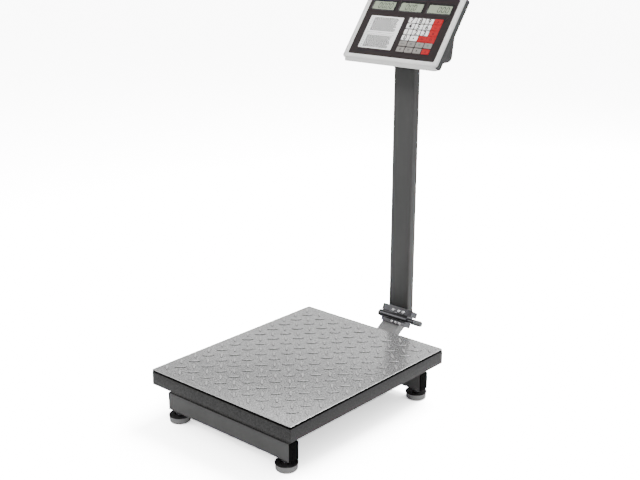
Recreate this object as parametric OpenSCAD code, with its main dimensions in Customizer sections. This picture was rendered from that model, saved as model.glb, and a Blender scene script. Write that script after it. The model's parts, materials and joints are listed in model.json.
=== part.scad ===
// Platform shipping scale with a folding column and a tilting keypad head.
// Units are millimetres. Origin on the floor under the middle of the whole object.
// X to the right, Y to the back, Z up; the user stands on the -Y side.
// Inside the modules Y is counted from the middle of the platform; to_frame() shifts it.

/* [Platform] */
// platform width, left to right
platform_width = 400; // [300:10:500]
// platform depth, front to back
platform_depth = 500; // [400:10:600]
// height of the platform's top face above the floor
platform_height = 120; // [105:1:150]
// height of the folded rim of the pan
rim_height = 35.5; // [25:0.5:40]
// sheet thickness of the pan
pan_sheet = 2; // [1:0.1:3]
// height of the raised tread lozenges
tread_height = 1.2; // [0.6:0.1:2]
// length of one tread lozenge
tread_length = 26; // [18:1:32]
// width of one tread lozenge
tread_width = 6.4; // [4:0.2:9]
// centre to centre step of the tread along each diagonal row
tread_pitch = 28.6; // [24:0.2:40]

/* [Base frame] */
// length of the two cross tubes, end caps included
cross_tube_length = 354; // [260:2:420]
// width of a cross tube, front to back
cross_tube_width = 25; // [15:1:30]
// height of a cross tube
cross_tube_height = 40; // [30:1:60]
// distance from the middle to each cross tube's centre line
cross_tube_y = 214; // [160:1:260]
// wall thickness of the base tubes
tube_wall = 2; // [1.5:0.1:3]
// underside of the cross tubes above the floor
cross_tube_z = 24; // [20:1:40]

/* [Levelling feet] */
// distance from the middle to each foot, sideways
foot_x = 156; // [120:1:180]
// diameter of a foot pad
foot_diameter = 48; // [30:1:60]
// radius of the levelling stud
stud_radius = 5; // [4:0.5:6]

/* [Column] */
// column width, left to right
column_width = 56; // [40:1:60]
// column depth, front to back
column_depth = 25; // [20:1:40]
// height of the column's top end above the floor
column_top = 728; // [500:1:900]
// corner radius of the column tube
column_corner = 4; // [2:0.5:6]

/* [Hinge] */
// pivot position behind the middle of the platform
pivot_y = 325; // [300:1:360]
// pivot height above the floor
pivot_z = 123; // [120:1:140]
// lean of the mitre plane of the hinge
mitre_angle = 29; // [20:1:40]
// radius of the hinge knuckles
knuckle_radius = 9; // [7:0.5:11]
// radius of the hinge clamp pin
pin_radius = 5; // [4:0.5:6]

/* [Head] */
// tilt of the keypad face above the horizontal
face_angle = 53; // [30:1:70]
// half width of the silver bezel
bezel_half_width = 130; // [110:1:150]
// half width of the dark keypad panel
panel_half_width = 118; // [100:1:135]
// height of the keypad panel along its slope
panel_height = 156; // [130:1:190]
// depth of the dark rear housing's rim behind the face
rim_depth = 20; // [12:1:25]
// height of the head's tilt axis
tilt_z = 765; // [740:1:820]

/* [Keys] */
// key width
key_width = 20; // [15:0.5:24]
// key height
key_height = 12.5; // [9:0.5:16]
// step between key columns
key_step_x = 22.5; // [20:0.5:28]
// step between key rows
key_step_y = 14.8; // [12:0.2:20]

/* [Hidden] */
// gap round a turning or threaded part
run_gap = 0.05;
// platform pan and the rails under it
pan_bottom = platform_height - rim_height;
pan_top = platform_height - tread_height;
pan_pad_height = 3;
rail_top = pan_top - pan_sheet - pan_pad_height;
rail_bottom = 96;
// base: inner faces and top of the cross tubes, top and wall of the centre beam
tube_inner_y = cross_tube_y - cross_tube_width / 2;
tube_top = cross_tube_z + cross_tube_height;
beam_top = 60;
beam_wall = 2.5;
// load cell, bolted to the base at its front end and to the platform at its rear end
cell_half_width = 15;
cell_y0 = -66;
cell_y1 = 64;
cell_z0 = 64;
cell_z1 = 86;
cell_seat_length = 36;
cell_seat_half_width = 20;
cell_bolt_radius = 4;
cell_hole_radius = 4.2;
lower_bolt_y = [-56, -40];
upper_bolt_y = [38, 54];
// hinge frame heights of the support tube's seat and the column's seat
lower_seat_z = -16.4;
upper_seat_z = 25;
// column
column_y0 = 346;
column_y1 = column_y0 + column_depth;
column_y = (column_y0 + column_y1) / 2;
// head: lower edge of the face, underside of the head and its tilt axis
head_y = 292;
head_z = 740.3;
skirt_z = head_z - 18.3;
tilt_y = 370;
tilt_bolt_radius = 4;
// upper edge of the rear housing along the face
housing_top = 166.5;
// rearmost point of the head, and the shift that centres the object front to back
head_rear_y = head_y + housing_top * cos(face_angle) + rim_depth * sin(face_angle);
frame_shift = (head_rear_y - platform_depth / 2) / 2;
// colours shared by several nodes
bolt_grey = [0.7, 0.7, 0.72];
hinge_silver = [0.8, 0.8, 0.82];
hinge_bolt_silver = [0.85, 0.85, 0.87];
key_white = [0.9, 0.9, 0.88];
key_red = [0.75, 0.1, 0.14];
key_grey = [0.55, 0.54, 0.52];

// ---- helpers ----

// the two mirrored places at a distance from the middle
function pair(distance) = [-distance, distance];

// children at every crossing of the listed x and y places
module at_each(xs, ys, z = 0) {
    for (x = xs, y = ys) translate([x, y, z]) children();
}

// moves the platform-centred layout so the origin is under the middle of the whole object
module to_frame() {
    translate([0, -frame_shift, 0]) children();
}

// flat rounded rectangle centred on the origin
module round_rect(width, depth, radius) {
    square([width - 2 * radius, depth], center = true);
    square([width, depth - 2 * radius], center = true);
    at_each(pair(width / 2 - radius), pair(depth / 2 - radius)) circle(r = radius, $fn = 48);
}

// rounded rectangle raised from z = 0
module round_slab(width, depth, height, radius) {
    linear_extrude(height = height) round_rect(width, depth, radius);
}

// box given by its two corners
module span(low, high) {
    translate(low) cube(high - low);
}

// cylinder along X from x0 to x1
module x_rod(x0, x1, radius, sides = 64) {
    translate([x0, 0, 0]) rotate([0, 90, 0]) cylinder(r = radius, h = x1 - x0, $fn = sides);
}

// hinge frame: local Y runs down the mitre plane to the back, local Z up out of it
module in_hinge() {
    translate([0, pivot_y, pivot_z]) rotate([-mitre_angle, 0, 0]) children();
}

// all the space above a height in the hinge frame
module above_mitre(height) {
    in_hinge() translate([-200, -400, height]) cube([400, 800, 900]);
}

// head frame: local Y up the keypad face, local Z out of the face
module in_head() {
    translate([0, head_y, head_z]) rotate([face_angle, 0, 0]) children();
}

// ---- base ----

cap_thickness = 3;
cap_plug_length = 8;
cap_plug_gap = 0.2;
beam_half_width = 25;
beam_bottom = 30;
foot_nut_height = 6;
lower_bolt_head = 6;
cell_hole_depth = 13;
flexure_y = [-14, 12];
flexure_radius = 8.5;
flexure_inset = 5; // slot between the bores, from the cell's top and bottom
stop_x = 110;
stop_gap = 0.8; // from the screw tips to the platform frame
cable_radius = 2.2;
cable_x = 30;
cable_y = -60;
cable_top = 70;
cable_bottom = 50;
support_half_width = 25;
support_depth = 25;
support_lean = 31;
support_wall = 2;

module cross_tube() {
    half_width = cross_tube_width / 2;
    length = cross_tube_length - 2 * cap_thickness;
    difference() {
        span([-length / 2, -half_width, 0], [length / 2, half_width, cross_tube_height]);
        span([-length / 2 - 1, -half_width + tube_wall, tube_wall],
            [length / 2 + 1, half_width - tube_wall, cross_tube_height - tube_wall]);
    }
}

module centre_beam() {
    inner = beam_half_width - beam_wall;
    difference() {
        span([-beam_half_width, -tube_inner_y, beam_bottom],
            [beam_half_width, tube_inner_y, beam_top]);
        span([-inner, -tube_inner_y - 1, beam_bottom + beam_wall],
            [inner, tube_inner_y + 1, beam_top - beam_wall]);
    }
}

module base_frame() color([0.24, 0.24, 0.25]) to_frame() {
    difference() {
        union() {
            at_each([0], pair(cross_tube_y), cross_tube_z) cross_tube();
            centre_beam();
            // pad under the fixed end of the load cell
            span([-cell_seat_half_width, cell_y0, beam_top - 1],
                [cell_seat_half_width, cell_y0 + cell_seat_length, cell_z0]);
        }
        // stud holes in the cross tubes
        at_each(pair(foot_x), pair(cross_tube_y), cross_tube_z - 1)
            cylinder(r = stud_radius + 0.5, h = tube_wall + 2, $fn = 48);
        // load cell bolt holes
        at_each([0], lower_bolt_y, beam_top - 10)
            cylinder(r = cell_hole_radius, h = 20, $fn = 48);
        // overload stop holes
        at_each(pair(stop_x), pair(cross_tube_y), tube_top - 10)
            cylinder(r = 4.1, h = 20, $fn = 48);
        // cable hole into the rear cross tube
        translate([cable_x, cross_tube_y - cross_tube_width, cable_bottom])
            rotate([-90, 0, 0]) cylinder(r = 3.2, h = 15, $fn = 32);
    }
}

// end cap of a right-hand tube end, with its plug reaching into the tube
module end_cap() {
    plug_inset = tube_wall + cap_plug_gap;
    translate([0, -cross_tube_width / 2, 0])
        cube([cap_thickness, cross_tube_width, cross_tube_height]);
    translate([-cap_plug_length, -cross_tube_width / 2 + plug_inset, plug_inset])
        cube([cap_plug_length, cross_tube_width - 2 * plug_inset,
            cross_tube_height - 2 * plug_inset]);
}

module tube_end_caps() color([0.03, 0.03, 0.03]) to_frame()
    for (side = [-1, 1], y = pair(cross_tube_y))
        translate([side * (cross_tube_length / 2 - cap_thickness), y, cross_tube_z])
            scale([side, 1, 1]) end_cap();

module foot_nuts() color([0.75, 0.75, 0.77]) to_frame()
    at_each(pair(foot_x), pair(cross_tube_y), cross_tube_z - foot_nut_height) difference() {
        cylinder(r = 9.8, h = foot_nut_height, $fn = 6);
        translate([0, 0, -1])
            cylinder(r = stud_radius + run_gap, h = foot_nut_height + 2, $fn = 64);
    }

module load_cell() color([0.75, 0.76, 0.78]) to_frame() difference() {
    span([-cell_half_width, cell_y0, cell_z0], [cell_half_width, cell_y1, cell_z1]);
    // flexure window of two joined bores
    at_each([-cell_half_width - 1], flexure_y, (cell_z0 + cell_z1) / 2)
        x_rod(0, 2 * cell_half_width + 2, flexure_radius);
    span([-cell_half_width - 1, flexure_y[0], cell_z0 + flexure_inset],
        [cell_half_width + 1, flexure_y[1], cell_z1 - flexure_inset]);
    at_each([0], lower_bolt_y, cell_z0 - 1)
        cylinder(r = cell_hole_radius, h = cell_hole_depth + 1, $fn = 48);
    at_each([0], upper_bolt_y, cell_z1 - cell_hole_depth)
        cylinder(r = cell_hole_radius, h = cell_hole_depth + 1, $fn = 48);
}

module load_cell_lower_bolts() color(bolt_grey) to_frame()
    at_each([0], lower_bolt_y, beam_top - beam_wall) {
        translate([0, 0, -lower_bolt_head]) cylinder(r = 6.5, h = lower_bolt_head, $fn = 6);
        translate([0, 0, -1]) cylinder(r = cell_bolt_radius, h = 14, $fn = 48);
    }

module overload_stop_screws() color(bolt_grey) to_frame()
    at_each(pair(stop_x), pair(cross_tube_y), tube_top) {
        translate([0, 0, -8]) cylinder(r = 4, h = rail_bottom - stop_gap - tube_top + 8, $fn = 48);
        cylinder(r = 7.5, h = 6, $fn = 6);
    }

// out of the cell's right side, down, then back into the rear cross tube
module load_cell_cable() color([0.05, 0.05, 0.05]) to_frame() {
    translate([0, cable_y, cable_top]) x_rod(cell_half_width, cable_x, cable_radius, 24);
    translate([cable_x, cable_y, cable_bottom])
        cylinder(r = cable_radius, h = cable_top - cable_bottom, $fn = 24);
    for (z = [cable_top, cable_bottom])
        translate([cable_x, cable_y, z]) sphere(r = cable_radius, $fn = 24);
    translate([cable_x, cable_y, cable_bottom]) rotate([-90, 0, 0])
        cylinder(r = cable_radius, h = cross_tube_y - 2 - cable_y, $fn = 24);
}

// overlong block of the leaning tube, drawn in all round and lengthened at both ends by inset
module support_block(inset) {
    translate([0, pivot_y - 16.2, pivot_z - 21.5]) rotate([support_lean, 0, 0])
        span([-support_half_width + inset, -160 - inset, -support_depth + inset],
            [support_half_width - inset, 100 + inset, -inset]);
}

// from the rear face of the rear cross tube up to the mitred hinge seat
module support_tube() color([0.42, 0.42, 0.43]) to_frame() {
    difference() {
        difference() {
            support_block(0);
            support_block(support_wall);
        }
        above_mitre(lower_seat_z);
        span([-60, 100, -60], [60, cross_tube_y + cross_tube_width / 2, 200]);
    }
}

// ---- hinge, in the hinge frame ----

// outer faces of the two brackets
hinge_right = 33;
hinge_rear = 38;
lower_left = -26;
lower_front = -3;
upper_left = -37;
upper_front = 2.5;
// wall thicknesses
lower_cheek = 3;
upper_cheek = 4;
upper_wall_z = 9.8; // lower edge of the upper front wall and the lock housing
// knuckles
middle_half = 10.9; // half length of the middle knuckle
middle_gap_half = 11; // half length of its gap in the lower bracket
knuckle_gap = 0.6;
// bolt places, and how far a shank is sunk into its head
lower_bolt_x = [7, 18, 29];
lower_bolt_z = -12.6;
upper_bolt_x = [-3, 13, 26];
upper_bolt_z = 15;
hinge_bolt_head = 3.4;
// the grip's spindle at the pin's right end
spindle_x0 = 64;
spindle_x1 = 79;
spindle_radius = 3;

// children in a row of bolt places, their Z turned to the local back
module at_hinge_bolts(xs, y, z) {
    at_each(xs, [y], z) rotate([-90, 0, 0]) children();
}

// round-headed bolt with the head's underside at z = 0
module hinge_bolt(head_radius, shank_radius, shank_length) {
    translate([0, 0, -hinge_bolt_head]) cylinder(r = head_radius, h = hinge_bolt_head, $fn = 48);
    translate([0, 0, -0.5]) cylinder(r = shank_radius, h = shank_length, $fn = 32);
}

module hinge_lower_bracket() color(hinge_silver) to_frame() in_hinge() difference() {
    union() {
        // seat plate on the support tube's end
        span([lower_left, lower_front, lower_seat_z],
            [hinge_right, hinge_rear, lower_seat_z + 5.4]);
        // plate under the mitre plane
        span([lower_left, 0, -5], [hinge_right, hinge_rear, 0]);
        // side cheeks
        for (x = [lower_left, hinge_right - lower_cheek])
            span([x, lower_front, lower_seat_z], [x + lower_cheek, hinge_rear, 0]);
        // front wall
        span([lower_left, lower_front, lower_seat_z], [hinge_right, 1.5, 0]);
        // outer knuckles
        x_rod(-32, -middle_gap_half, knuckle_radius);
        x_rod(middle_gap_half, 46, knuckle_radius);
    }
    // room for the middle knuckle
    x_rod(-middle_gap_half, middle_gap_half, knuckle_radius + knuckle_gap);
    span([-middle_gap_half, -12, -6], [middle_gap_half, 0, 12]);
    // clamp pin bore
    x_rod(-40, 50, pin_radius + run_gap);
    // bolt holes in the front wall
    at_hinge_bolts(lower_bolt_x, lower_front - 2, lower_bolt_z)
        cylinder(r = 2.1, h = 8, $fn = 32);
}

module hinge_lower_bolts() color(hinge_bolt_silver) to_frame() in_hinge()
    at_hinge_bolts(lower_bolt_x, lower_front, lower_bolt_z)
        hinge_bolt(head_radius = 3.6, shank_radius = 2, shank_length = 5);

module hinge_upper_bracket() color(hinge_silver) to_frame() in_hinge() difference() {
    union() {
        // base plate on the mitre plane
        span([upper_left, 10, 0], [hinge_right, hinge_rear, 5]);
        // front wall
        span([upper_left, upper_front, upper_wall_z], [hinge_right, 9.5, upper_seat_z]);
        // side cheeks
        for (x = [upper_left, hinge_right - upper_cheek])
            span([x, 9, 0], [x + upper_cheek, hinge_rear, upper_seat_z]);
        // seat plate under the column
        span([upper_left, upper_front, upper_seat_z - 5.6],
            [hinge_right, hinge_rear, upper_seat_z]);
        // rear wall
        span([upper_left, hinge_rear - 4, 0], [hinge_right, hinge_rear, upper_seat_z]);
        // lock housing on the right
        span([hinge_right - 0.1, 1, upper_wall_z], [50, 26, 24]);
        // middle knuckle and its web
        x_rod(-middle_half, middle_half, knuckle_radius);
        span([-middle_half, 0, 0], [middle_half, 12, 10.6]);
    }
    // clamp pin bore
    x_rod(-12, 12, pin_radius + run_gap);
    // bolt holes in the front wall
    at_hinge_bolts(upper_bolt_x, upper_front - 1, upper_bolt_z)
        cylinder(r = 2.6, h = 10, $fn = 32);
    // room for the outer knuckles
    x_rod(-40, -middle_half, knuckle_radius + knuckle_gap);
    x_rod(middle_half, 60, knuckle_radius + knuckle_gap);
}

module hinge_upper_bolts() color(hinge_bolt_silver) to_frame() in_hinge()
    at_hinge_bolts(upper_bolt_x, upper_front, upper_bolt_z)
        hinge_bolt(head_radius = 4.2, shank_radius = 2.5, shank_length = 7.4);

module hinge_pin() color([0.78, 0.78, 0.8]) to_frame() in_hinge() {
    x_rod(-36, spindle_x0, pin_radius);
    // left head and right collar
    x_rod(-39, -33, 8);
    x_rod(60, spindle_x0, 7);
    x_rod(spindle_x0, spindle_x1, spindle_radius);
}

module clamp_grip() color([0.45, 0.45, 0.46]) to_frame() in_hinge() difference() {
    x_rod(65, 85, 7);
    x_rod(spindle_x0, spindle_x1, spindle_radius);
}

// ---- platform ----

tread_sink = 0.3; // depth of the lozenges' feet in the sheet
tread_margin = 12; // bare edge of the pan
tread_rows = 12; // diagonal rows tried on each side of the middle
side_rail_x = 160;
side_rail_half_width = 10;
side_rail_half_length = 232;
end_rail_y = 210;
end_rail_half_width = 15;
cross_rail_half_length = 151;
rail_hollow_x = 155; // sideways reach of the cross rails' hollows
rail_wall = 2;
counterbore_depth = 9;

module tread_lozenge(angle) {
    quarter = tread_length / 4;
    shoulder = tread_width * 0.42;
    rotate([0, 0, angle]) linear_extrude(height = tread_height + tread_sink)
        polygon([
            [-tread_length / 2, 0], [-quarter, -shoulder], [0, -tread_width / 2],
            [quarter, -shoulder], [tread_length / 2, 0], [quarter, shoulder],
            [0, tread_width / 2], [-quarter, shoulder]
        ]);
}

module platform_pan() color([0.55, 0.55, 0.56]) to_frame() {
    height = pan_top - pan_bottom;
    difference() {
        translate([0, 0, pan_bottom]) round_slab(platform_width, platform_depth, height, 2.5);
        translate([0, 0, pan_bottom - 1])
            round_slab(platform_width - 2 * pan_sheet, platform_depth - 2 * pan_sheet,
                height - pan_sheet + 1, 1);
    }
    // tread lozenges in diagonal rows, turned alternately
    for (i = [-tread_rows:tread_rows], j = [-tread_rows:tread_rows]) {
        x = (i + j) * tread_pitch * sin(45);
        y = (i - j) * tread_pitch * sin(45);
        if (abs(x) < platform_width / 2 - tread_margin
            && abs(y) < platform_depth / 2 - tread_margin)
            translate([x, y, pan_top - tread_sink]) tread_lozenge((i + j) % 2 == 0 ? 45 : -45);
    }
}

// box between two x and two y places, as high as the rails less an inset
module rail_box(x0, x1, y0, y1, inset = 0) {
    span([x0, y0, rail_bottom + inset], [x1, y1, rail_top - inset]);
}

module platform_frame() color([0.3, 0.3, 0.31]) to_frame() {
    half_seat = cell_seat_half_width;
    seat_y0 = cell_y1 - cell_seat_length;
    cross_half = cross_rail_half_length;
    side_hollow = side_rail_half_width - rail_wall;
    end_hollow = end_rail_half_width - rail_wall;
    difference() {
        union() {
            for (x = pair(side_rail_x))
                rail_box(x - side_rail_half_width, x + side_rail_half_width,
                    -side_rail_half_length, side_rail_half_length);
            for (y = pair(end_rail_y))
                rail_box(-cross_half, cross_half,
                    y - end_rail_half_width, y + end_rail_half_width);
            // middle rail, and the block between it and the load cell
            rail_box(-cross_half, cross_half, seat_y0, cell_y1);
            span([-half_seat, seat_y0, cell_z1], [half_seat, cell_y1, rail_bottom + 1]);
        }
        // hollows of the side rails, open at the ends
        for (x = pair(side_rail_x))
            rail_box(x - side_hollow, x + side_hollow,
                -side_rail_half_length - 1, side_rail_half_length + 1, rail_wall);
        // hollows of the front and rear rails, opening into the side rails
        for (y = pair(end_rail_y))
            rail_box(-rail_hollow_x, rail_hollow_x, y - end_hollow, y + end_hollow, rail_wall);
        // hollows of the middle rail, left and right of the solid bolting part
        for (x0 = [-rail_hollow_x, half_seat + 2])
            rail_box(x0, x0 + rail_hollow_x - half_seat - 2,
                seat_y0 + rail_wall, cell_y1 - rail_wall, rail_wall);
        // load cell bolt holes and their counterbores
        at_each([0], upper_bolt_y, cell_z1 - 1)
            cylinder(r = cell_hole_radius, h = 40, $fn = 48);
        at_each([0], upper_bolt_y, rail_top - counterbore_depth)
            cylinder(r = 7.4, h = 20, $fn = 48);
    }
}

module pan_pads() color([0.06, 0.06, 0.06]) to_frame()
    at_each(pair(side_rail_x), pair(end_rail_y), rail_top)
        cylinder(r = 8, h = pan_pad_height, $fn = 48);

module load_cell_upper_bolts() color(bolt_grey) to_frame() {
    shank_bottom = cell_z1 - 10;
    head_bottom = rail_top - counterbore_depth;
    at_each([0], upper_bolt_y) {
        translate([0, 0, head_bottom]) cylinder(r = 6.5, h = 7, $fn = 48);
        translate([0, 0, shank_bottom])
            cylinder(r = cell_bolt_radius, h = head_bottom + 0.5 - shank_bottom, $fn = 48);
    }
}

// ---- feet ----

// pad with its stud; side and end are -1 or 1 for left or right and front or rear
module foot(side, end) color([0.12, 0.12, 0.12]) to_frame()
    translate([side * foot_x, end * cross_tube_y, 0]) {
        radius = foot_diameter / 2;
        difference() {
            union() {
                cylinder(r = radius - 2.8, h = 2, $fn = 64);
                translate([0, 0, 1.5]) cylinder(r = radius - 1.3, h = 12.5, $fn = 64);
                translate([0, 0, 13.5]) cylinder(r = radius, h = 2.9, $fn = 64);
            }
            // recess that clears the lock nut
            translate([0, 0, 12]) cylinder(r = 12.3, h = 6, $fn = 64);
        }
        // central boss and stud
        cylinder(r = 9, h = 14, $fn = 48);
        cylinder(r = stud_radius, h = 54, $fn = 64);
    }
module foot_front_left() foot(-1, -1);
module foot_front_right() foot(1, -1);
module foot_rear_left() foot(-1, 1);
module foot_rear_right() foot(1, 1);

// ---- column ----

column_wall = 2;
column_stock_z = 60; // start of the tube before its mitre cut
collar_wall = 1.5;
collar_top = 2; // thickness of the collar's top plate
bracket_front = column_y1 + collar_wall;
bracket_rear = column_y1 + 5.6;
arm_x = 28;
arm_thickness = 4;

// solid of the column's section, grown all round
module column_slab(height, grow = 0) {
    round_slab(column_width + 2 * grow, column_depth + 2 * grow, height, column_corner + grow);
}

module column_tube() color([0.17, 0.17, 0.18]) to_frame() intersection() {
    translate([0, column_y, column_stock_z])
        linear_extrude(height = column_top - collar_top - column_stock_z) difference() {
            round_rect(column_width, column_depth, column_corner);
            round_rect(column_width - 2 * column_wall, column_depth - 2 * column_wall,
                column_corner - column_wall);
        }
    above_mitre(upper_seat_z);
}

module column_collar() color([0.04, 0.04, 0.04]) to_frame() translate([0, column_y, 0]) {
    // top plate
    translate([0, 0, column_top - collar_top]) column_slab(collar_top, collar_wall);
    // skirt round the tube's end, let slightly into the top plate
    translate([0, 0, column_top - 18]) linear_extrude(height = 16.01) difference() {
        round_rect(column_width + 2 * collar_wall, column_depth + 2 * collar_wall,
            column_corner + collar_wall);
        round_rect(column_width, column_depth, column_corner);
    }
}

module head_bracket() color([0.1, 0.1, 0.1]) to_frame() difference() {
    union() {
        // upright plate on the back of the collar, and the wider plate above it
        span([-24, bracket_front, column_top - 17.5], [24, bracket_rear, head_z + 6.7]);
        span([-30, bracket_front, head_z - 9.3], [30, bracket_rear, head_z + 13.2]);
        // arms up to the tilt axis
        for (x = pair(arm_x)) translate([x - arm_thickness / 2, 0, 0]) {
            span([0, tilt_y - 9, head_z - 5.3], [arm_thickness, bracket_rear, tilt_z]);
            translate([0, tilt_y, tilt_z]) x_rod(0, arm_thickness, 11);
        }
    }
    tilt_bore();
}

// hole for the tilt bolt through the arms and the lugs
module tilt_bore() {
    translate([0, tilt_y, tilt_z]) x_rod(-40, 40, tilt_bolt_radius + run_gap);
}

module tilt_bolt() color([0.75, 0.75, 0.77]) to_frame() translate([0, tilt_y, tilt_z]) {
    x_rod(-31, 36, tilt_bolt_radius);
    // hexagon head
    x_rod(-36, -30, 7.5, 6);
}

module tilt_knob() color([0.05, 0.05, 0.05]) to_frame() translate([0, tilt_y, tilt_z])
    difference() {
        union() {
            // neck
            x_rod(30.2, 35, 8);
            // six-lobed grip
            translate([34, 0, 0]) rotate([90, 0, 90]) linear_extrude(height = 12) {
                circle(r = 10.5, $fn = 64);
                for (angle = [0:60:300])
                    rotate([0, 0, angle]) translate([9.6, 0]) circle(r = 3.6, $fn = 32);
            }
        }
        x_rod(29, 36.5, tilt_bolt_radius + run_gap);
    }

// ---- head ----

bezel_back = -4; // where the bezel meets the rear housing
housing_wall = 2.5;
housing_screw_x = pair(118);
housing_screw_y = [3, 155];
panel_thickness = 2.5;
pocket_z = -2; // floor of the key and window pockets
pocket_cut = 5;
// display windows
window_x = [-76, 0, 76];
window_y = 128.5;
window_width = 68;
window_height = 28;
// centre of the lower left key
key_x0 = 18.8;
key_y0 = 22;
// tilt lugs
lug_x = 22;
lug_width = 7.6;
lug_radius = 10;
// side outline of the wedge behind the face: [y, height above head_z]
wedge_outline = [
    [306, -5.3], [341, -5.3], [347, -2.8], [351, 1.7],
    [352.4, 6.7], [358.6, 50.7], [366, 62.7], [356, 66.7]
];
// side outline of its hollow, in the same columns
wedge_hollow = [
    [311, -2.8], [340, -2.8], [346, -0.3],
    [349, 4.7], [355.5, 48.7], [346, 48.7]
];

// rounded slab of the head between two places up the face and two depths
module head_slab(half_width, y0, y1, z0, z1, radius) {
    translate([0, (y0 + y1) / 2, z0]) round_slab(2 * half_width, y1 - y0, z1 - z0, radius);
}

// children at the four housing screws
module at_housing_screws(z) {
    at_each(housing_screw_x, housing_screw_y, z) children();
}

// side outline drawn out across the head, short of the bezel's sides by inset
module wedge(outline, inset) {
    translate([-bezel_half_width + inset, 0, head_z]) rotate([90, 0, 90])
        linear_extrude(height = 2 * (bezel_half_width - inset)) polygon(outline);
}

// upright skirt below the face
module bezel_skirt() {
    difference() {
        translate([0, head_y + 14.6, skirt_z]) difference() {
            round_slab(2 * bezel_half_width - 8, 40, 14, 6);
            translate([0, 0, 1.8]) round_slab(2 * bezel_half_width - 12, 36, 14, 4);
        }
        // space taken by the rear housing's rim
        in_head() span([-200, -10.9, -100], [200, 289.1, bezel_back]);
        // what would stand out near the face
        in_head() translate([-200, -100, -1.5]) cube([400, 300, 60]);
        // everything but the front part
        span([-200, head_y + 2.5, 600], [200, 400, 800]);
    }
}

module head_bezel() color([0.8, 0.8, 0.79]) to_frame() {
    in_head() difference() {
        union() {
            head_slab(bezel_half_width, -11, 168, bezel_back, 1.5, 7);
            // screw bosses
            at_housing_screws(-13) cylinder(r = 4, h = 10, $fn = 32);
        }
        // panel seat, and the smaller opening behind it
        translate([0, panel_height / 2, -panel_thickness])
            round_slab(2 * panel_half_width + 0.2, panel_height + 0.2, 10, 4);
        translate([0, panel_height / 2, -5])
            round_slab(2 * panel_half_width - 8, panel_height - 8, 10, 4);
        at_housing_screws(-14) cylinder(r = 1.55, h = 10, $fn = 32);
    }
    bezel_skirt();
}

module head_rear_housing() color([0.27, 0.27, 0.28]) to_frame() difference() {
    union() {
        in_head()
            head_slab(bezel_half_width - 0.4, -10.5, housing_top, -rim_depth, bezel_back, 7);
        // wedge behind the lower half of the face
        wedge(wedge_outline, 5);
        // tilt lugs
        for (x = pair(lug_x)) translate([x - lug_width / 2, 0, tilt_z]) {
            translate([0, tilt_y, 0]) x_rod(0, lug_width, lug_radius);
            span([0, 350, -lug_radius], [lug_width, tilt_y, lug_radius]);
        }
    }
    // hollow of the rim, round the screw pillars
    in_head() difference() {
        head_slab(bezel_half_width - 3, -8, housing_top - housing_wall,
            -rim_depth + housing_wall, 2, 5);
        at_housing_screws(-rim_depth - 2) cylinder(r = 4.2, h = 6.8, $fn = 32);
    }
    wedge(wedge_hollow, 5 + housing_wall);
    tilt_bore();
    in_head() at_housing_screws(-25) cylinder(r = 1.7, h = 12, $fn = 32);
    // flat underside
    span([-200, 200, 600], [200, 330, skirt_z]);
}

module face_panel() color([0.16, 0.11, 0.11]) to_frame() in_head() difference() {
    translate([0, panel_height / 2, -panel_thickness])
        round_slab(2 * panel_half_width, panel_height, panel_thickness, 3.9);
    for (row = [0:5], column = [0:3])
        at_key(column, row, pocket_z)
            round_slab(key_width + 0.4, key_height + 0.4, pocket_cut, 1.7);
    at_each(window_x, [window_y], pocket_z)
        round_slab(window_width + 0.2, window_height + 0.2, pocket_cut, 1.1);
}

module instruction_card() color([0.85, 0.85, 0.85]) to_frame() in_head()
    span([-98.5, 17, 0], [-6.5, 100, 0.3]);

module display_windows() color([0.12, 0.14, 0.13, 0.6]) to_frame() in_head()
    at_each(window_x, [window_y], pocket_z) round_slab(window_width, window_height, 2.3, 1);

module main_board() color([0.05, 0.3, 0.12]) to_frame() in_head() difference() {
    span([-105, 14, -9], [105, 146, -7.4]);
    at_each(pair(98), [20, 140], -12) cylinder(r = 1.6, h = 8, $fn = 24);
}

module battery() color([0.15, 0.15, 0.17]) to_frame()
    span([-48, 323, head_z - 2.8], [48, 339.5, head_z + 13.7]);

module housing_screws() color([0.6, 0.6, 0.62]) to_frame() in_head()
    at_housing_screws(-rim_depth) {
        translate([0, 0, -2.2]) cylinder(r = 3.4, h = 2.2, $fn = 32);
        translate([0, 0, -0.5]) cylinder(r = 1.5, h = 12, $fn = 32);
    }

// ---- keys ----

// column and row are counted from the lower left key
module at_key(column, row, z) {
    translate([key_x0 + column * key_step_x, key_y0 + row * key_step_y, z]) children();
}

// one key, proud of the panel
module key(tint, column, row) color(tint) to_frame() in_head()
    at_key(column, row, -1.2) round_slab(key_width, key_height, 2.2, 1.5);

module key_0() key(key_white, 0, 2);
module key_point() key(key_white, 1, 2);
module key_1() key(key_white, 0, 3);
module key_2() key(key_white, 1, 3);
module key_3() key(key_white, 2, 3);
module key_4() key(key_white, 0, 4);
module key_5() key(key_white, 1, 4);
module key_6() key(key_white, 2, 4);
module key_7() key(key_white, 0, 5);
module key_8() key(key_white, 1, 5);
module key_9() key(key_white, 2, 5);
module key_red_1() key(key_red, 3, 0);
module key_red_2() key(key_red, 2, 2);
module key_red_3() key(key_red, 3, 2);
module key_red_4() key(key_red, 3, 3);
module key_red_5() key(key_red, 3, 4);
module key_red_6() key(key_red, 3, 5);
module key_red_7() key(key_red, 3, 1);
module key_grey_1() key(key_grey, 0, 0);
module key_grey_2() key(key_grey, 1, 0);
module key_grey_3() key(key_grey, 2, 0);
module key_grey_4() key(key_grey, 0, 1);
module key_grey_5() key(key_grey, 1, 1);
module key_grey_6() key(key_grey, 2, 1);

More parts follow.
